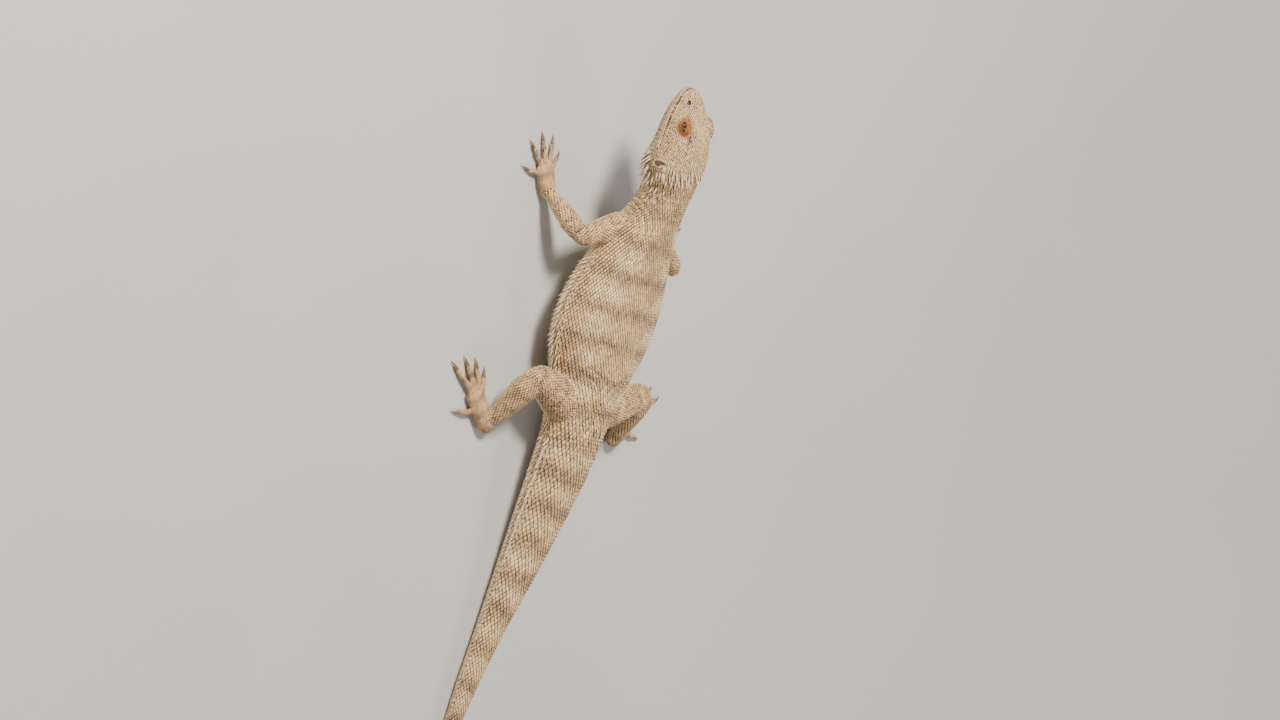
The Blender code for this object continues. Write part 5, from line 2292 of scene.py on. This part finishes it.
@dataclass
class Studio:
    """The pale floor, the soft lights and the camera."""

    elevation: float = math.radians(37)
    roll: float = math.radians(14)
    lens: float = 135.0
    pixel: float = 0.000568
    picture: tuple[int, int] = (1280, 720)
    vent_pixel: Pair = (570.0, 435.0)
    floor_half: float = 4.0

    def build(self, flesh: Flesh) -> None:
        """Builds all of it.

        Args:
            flesh: the animal, whose vent sets the camera's aim.
        """
        self.floor()
        self.lights()
        self.camera(flesh)
        LOG.info("studio: floor, lights and camera")

    def floor(self) -> None:
        """A plain pale floor, far wider than the view."""
        shape = bmesh.new()
        bmesh.ops.create_grid(shape, x_segments=1, y_segments=1, size=self.floor_half)
        piece = mesh_object("floor", shape)
        graph = Graph("floor_paint")
        patches = graph.spread(graph.noise(3.0, 2.0), 0.3, 0.7)
        colour = graph.mix(patches, (0.47, 0.46, 0.445), (0.50, 0.49, 0.475))
        rough = graph.spread(graph.noise(900.0), 0.3, 0.7, (0.62, 0.72))
        graph.finish(piece, Base_Color=colour, Roughness=rough)

    def lights(self) -> None:
        """A soft key from the front left, a wide fill and a rim from behind."""
        for name, place, size, power, colour in (
            ("key", (0.7, -1.2, 1.4), 0.42, 74.0, (1.0, 0.945, 0.860)),
            ("fill", (1.6, 1.2, 1.2), 1.8, 15.0, (0.97, 0.98, 1.0)),
            ("rim", (-1.4, 0.5, 1.2), 0.9, 14.0, (1.0, 0.97, 0.93)),
        ):
            data = bpy.data.lights.new(name, "AREA")
            data.size, data.energy, data.color = size, power, colour
            lamp = bpy.data.objects.new(name, data)
            lamp.location = place
            lamp.rotation_euler = (-Vector(place)).to_track_quat("-Z", "Y").to_euler()
            bpy.context.scene.collection.objects.link(lamp)
        world = bpy.data.worlds.new("studio_air")
        world.use_nodes = True
        back = world.node_tree.nodes["Background"]
        back.inputs["Color"].default_value = (0.86, 0.86, 0.87, 1.0)
        back.inputs["Strength"].default_value = 0.32
        bpy.context.scene.world = world

    def camera(self, flesh: Flesh) -> None:
        """Looks down on the left side, with the head up in the picture.

        Args:
            flesh: the animal, whose vent sets the camera's aim.
        """
        tilt, roll = self.elevation, self.roll
        back = np.array((math.cos(tilt), 0.0, math.sin(tilt)))
        level = np.array((0.0, -1.0, 0.0))
        aside = np.array((-math.sin(tilt), 0.0, math.cos(tilt)))
        up = level * math.cos(roll) - aside * math.sin(roll)
        right = aside * math.cos(roll) + level * math.sin(roll)
        vent = flesh.trunk.frames(np.array([flesh.trunk.vent])).origin[0]
        across, down = (
            (spot - size / 2) * self.pixel for spot, size in zip(self.vent_pixel, self.picture)
        )
        aim = vent - right * across + up * down
        data = bpy.data.cameras.new("camera")
        data.lens = self.lens
        data.sensor_width = 36.0
        data.clip_start, data.clip_end = 0.05, 40.0
        camera = bpy.data.objects.new("camera", data)
        place = aim + back * (self.picture[0] * self.pixel * self.lens / data.sensor_width)
        ways = Matrix((right, up, back)).transposed().to_4x4()
        camera.matrix_world = Matrix.Translation(Vector(place)) @ ways
        bpy.context.scene.collection.objects.link(camera)
        bpy.context.scene.camera = camera


@dataclass
class Dragon:
    """The whole animal.

    The wide, high and lean values are for the builds of scales, in their order.
    """

    seed: int = 20417
    coats: tuple[tuple[str, float, float], ...] = (
        ("scales_head", 0.142, 1.0), ("scales_front", 0.062, 0.142),
        ("scales_rear", -0.020, 0.062), ("scales_tail", -1.0, -0.020),
    )
    root_gap: float = 0.60
    wide: Triple = (1.06, 1.06, 1.16)
    high: Triple = (1.0, 0.85, 1.0)
    lean: Triple = (0.10, 0.05, 0.0)
    spine_width: float = 0.95
    spine_sway: float = 0.07

    def build(self, frame: dict) -> None:
        """Builds and dresses every piece in order.

        Args:
            frame: the loaded frame.
        """
        spread = np.random.default_rng(self.seed)
        flesh, seat = Flesh(), EyeSeat()
        skin = Skin(flesh, seat)
        hide = skin.build()
        LOG.info("skin: %d faces", len(hide.data.polygons))
        places, triangles = triples(hide.data.vertices, "co"), steady_triangles(hide.data)
        surface = BVHTree.FromPolygons(places.tolist(), triangles.tolist(), all_triangles=True)
        lattice = Lattice(skin, surface, spread)
        markings = Markings()
        special = SpecialScales(lattice, skin).roots()
        roots = Roots.joined([special, lattice.roots()])
        roots = roots.kept(lattice.apart(roots, self.root_gap))
        LOG.info("roots: %d before the gaps are filled", len(roots.place))
        roots = lattice.filled(roots, places[triangles])
        LOG.info("roots: %d in all", len(roots.place))
        self.coat(roots, skin, markings, spread)
        self.spines(lattice, skin, markings, spread)
        self.mark_skin(hide, roots, skin, markings)
        HideFinish(name="bare_skin", bare=True).dress(hide)
        for side in Side:
            ball = Eye(seat, side).build(flesh.trunk)
            EyeFinish().dress(ball)
            DrumFinish().dress(frame["nodes"][f"eardrum_{side.label}"])
            for kind in ("fore", "hind"):
                HornFinish().dress(Claws(kind, side).build(flesh))
        LOG.info("eyes, eardrums and claws done")
        Studio().build(flesh)

    def coat(self, roots: Roots, skin: Skin, markings: Markings, spread: np.random.Generator
             ) -> None:
        """Builds and dresses the scales, in a left and a right piece for each region of the body.

        Args:
            roots: where the scales grow.
            skin: the skin under them.
            markings: the pattern.
            spread: the source of the small differences among them.
        """
        marks = markings.read(roots, skin)
        forms = {number: Form.scale(build) for number, build in enumerate(Build)}
        size = roots.size * spread.uniform(0.95, 1.05, len(roots.size))
        wide, high, lean = (np.array(v)[roots.build] for v in (self.wide, self.high, self.lean))
        shares = np.stack([size * wide, size * wide, size * high], axis=1)
        regions = [(name, (roots.part == 0) & (roots.along > first) & (roots.along <= last))
                   for name, first, last in self.coats]
        regions.append(("scales_legs", roots.part > 0))
        middle = skin.flesh.trunk.frames(roots.along)
        aside = ((roots.place - middle.origin) * middle.left).sum(axis=1)
        aside = np.where(roots.part == 0, aside, roots.place[:, 0])
        for name, mask in regions:
            for half, label in ((aside >= 0, "left"), (aside < 0, "right")):
                part = mask & half
                some = Marks(*(getattr(marks, mark)[part] for mark in Marks.NAMES))
                piece = Coat(f"{name}_{label}", "skin").build(
                    roots.kept(part), some, forms, shares[part], lean[part], spread
                )
                HideFinish(name=f"{name}_{label}").dress(piece)

    def spines(self, lattice: Lattice, skin: Skin, markings: Markings,
               spread: np.random.Generator) -> None:
        """Builds and dresses the spines, with pale points.

        Args:
            lattice: what settles them on the skin.
            skin: the skin under them.
            markings: the pattern.
            spread: the source of the small differences among them.
        """
        rows = SpineRows(lattice, skin, spread)
        roots = rows.roots()
        marks = markings.read(roots, skin)
        length = roots.size
        width = length * self.spine_width
        shares = np.stack([width, width, length], axis=1)
        lean = spread.normal(rows.tilt, self.spine_sway, len(length))
        piece = Coat("spines", "horn").build(
            roots, marks, {0: Form.spine()}, shares, lean, spread
        )
        HideFinish(name="spines", white_tips=True).dress(piece)

    def mark_skin(self, hide: Piece, roots: Roots, skin: Skin, markings: Markings
                  ) -> None:
        """Stores the same markings on the skin between the scales.

        Args:
            hide: the skin's object.
            roots: where the scales grow.
            skin: the skin's sizes.
            markings: the pattern.
        """
        marks = markings.read(roots, skin)
        tree = tree_of(roots.place)
        nearest = np.array([tree.find(vert.co)[1] for vert in hide.data.vertices])
        for name in Marks.NAMES:
            set_values(hide.data, name, getattr(marks, name)[nearest])


def main() -> None:
    """Builds the animal and its studio."""
    logging.basicConfig(level=logging.INFO, format="%(message)s")
    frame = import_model()
    Dragon().build(frame)
    bpy.context.view_layer.update()


if __name__ == "__main__":
    main()
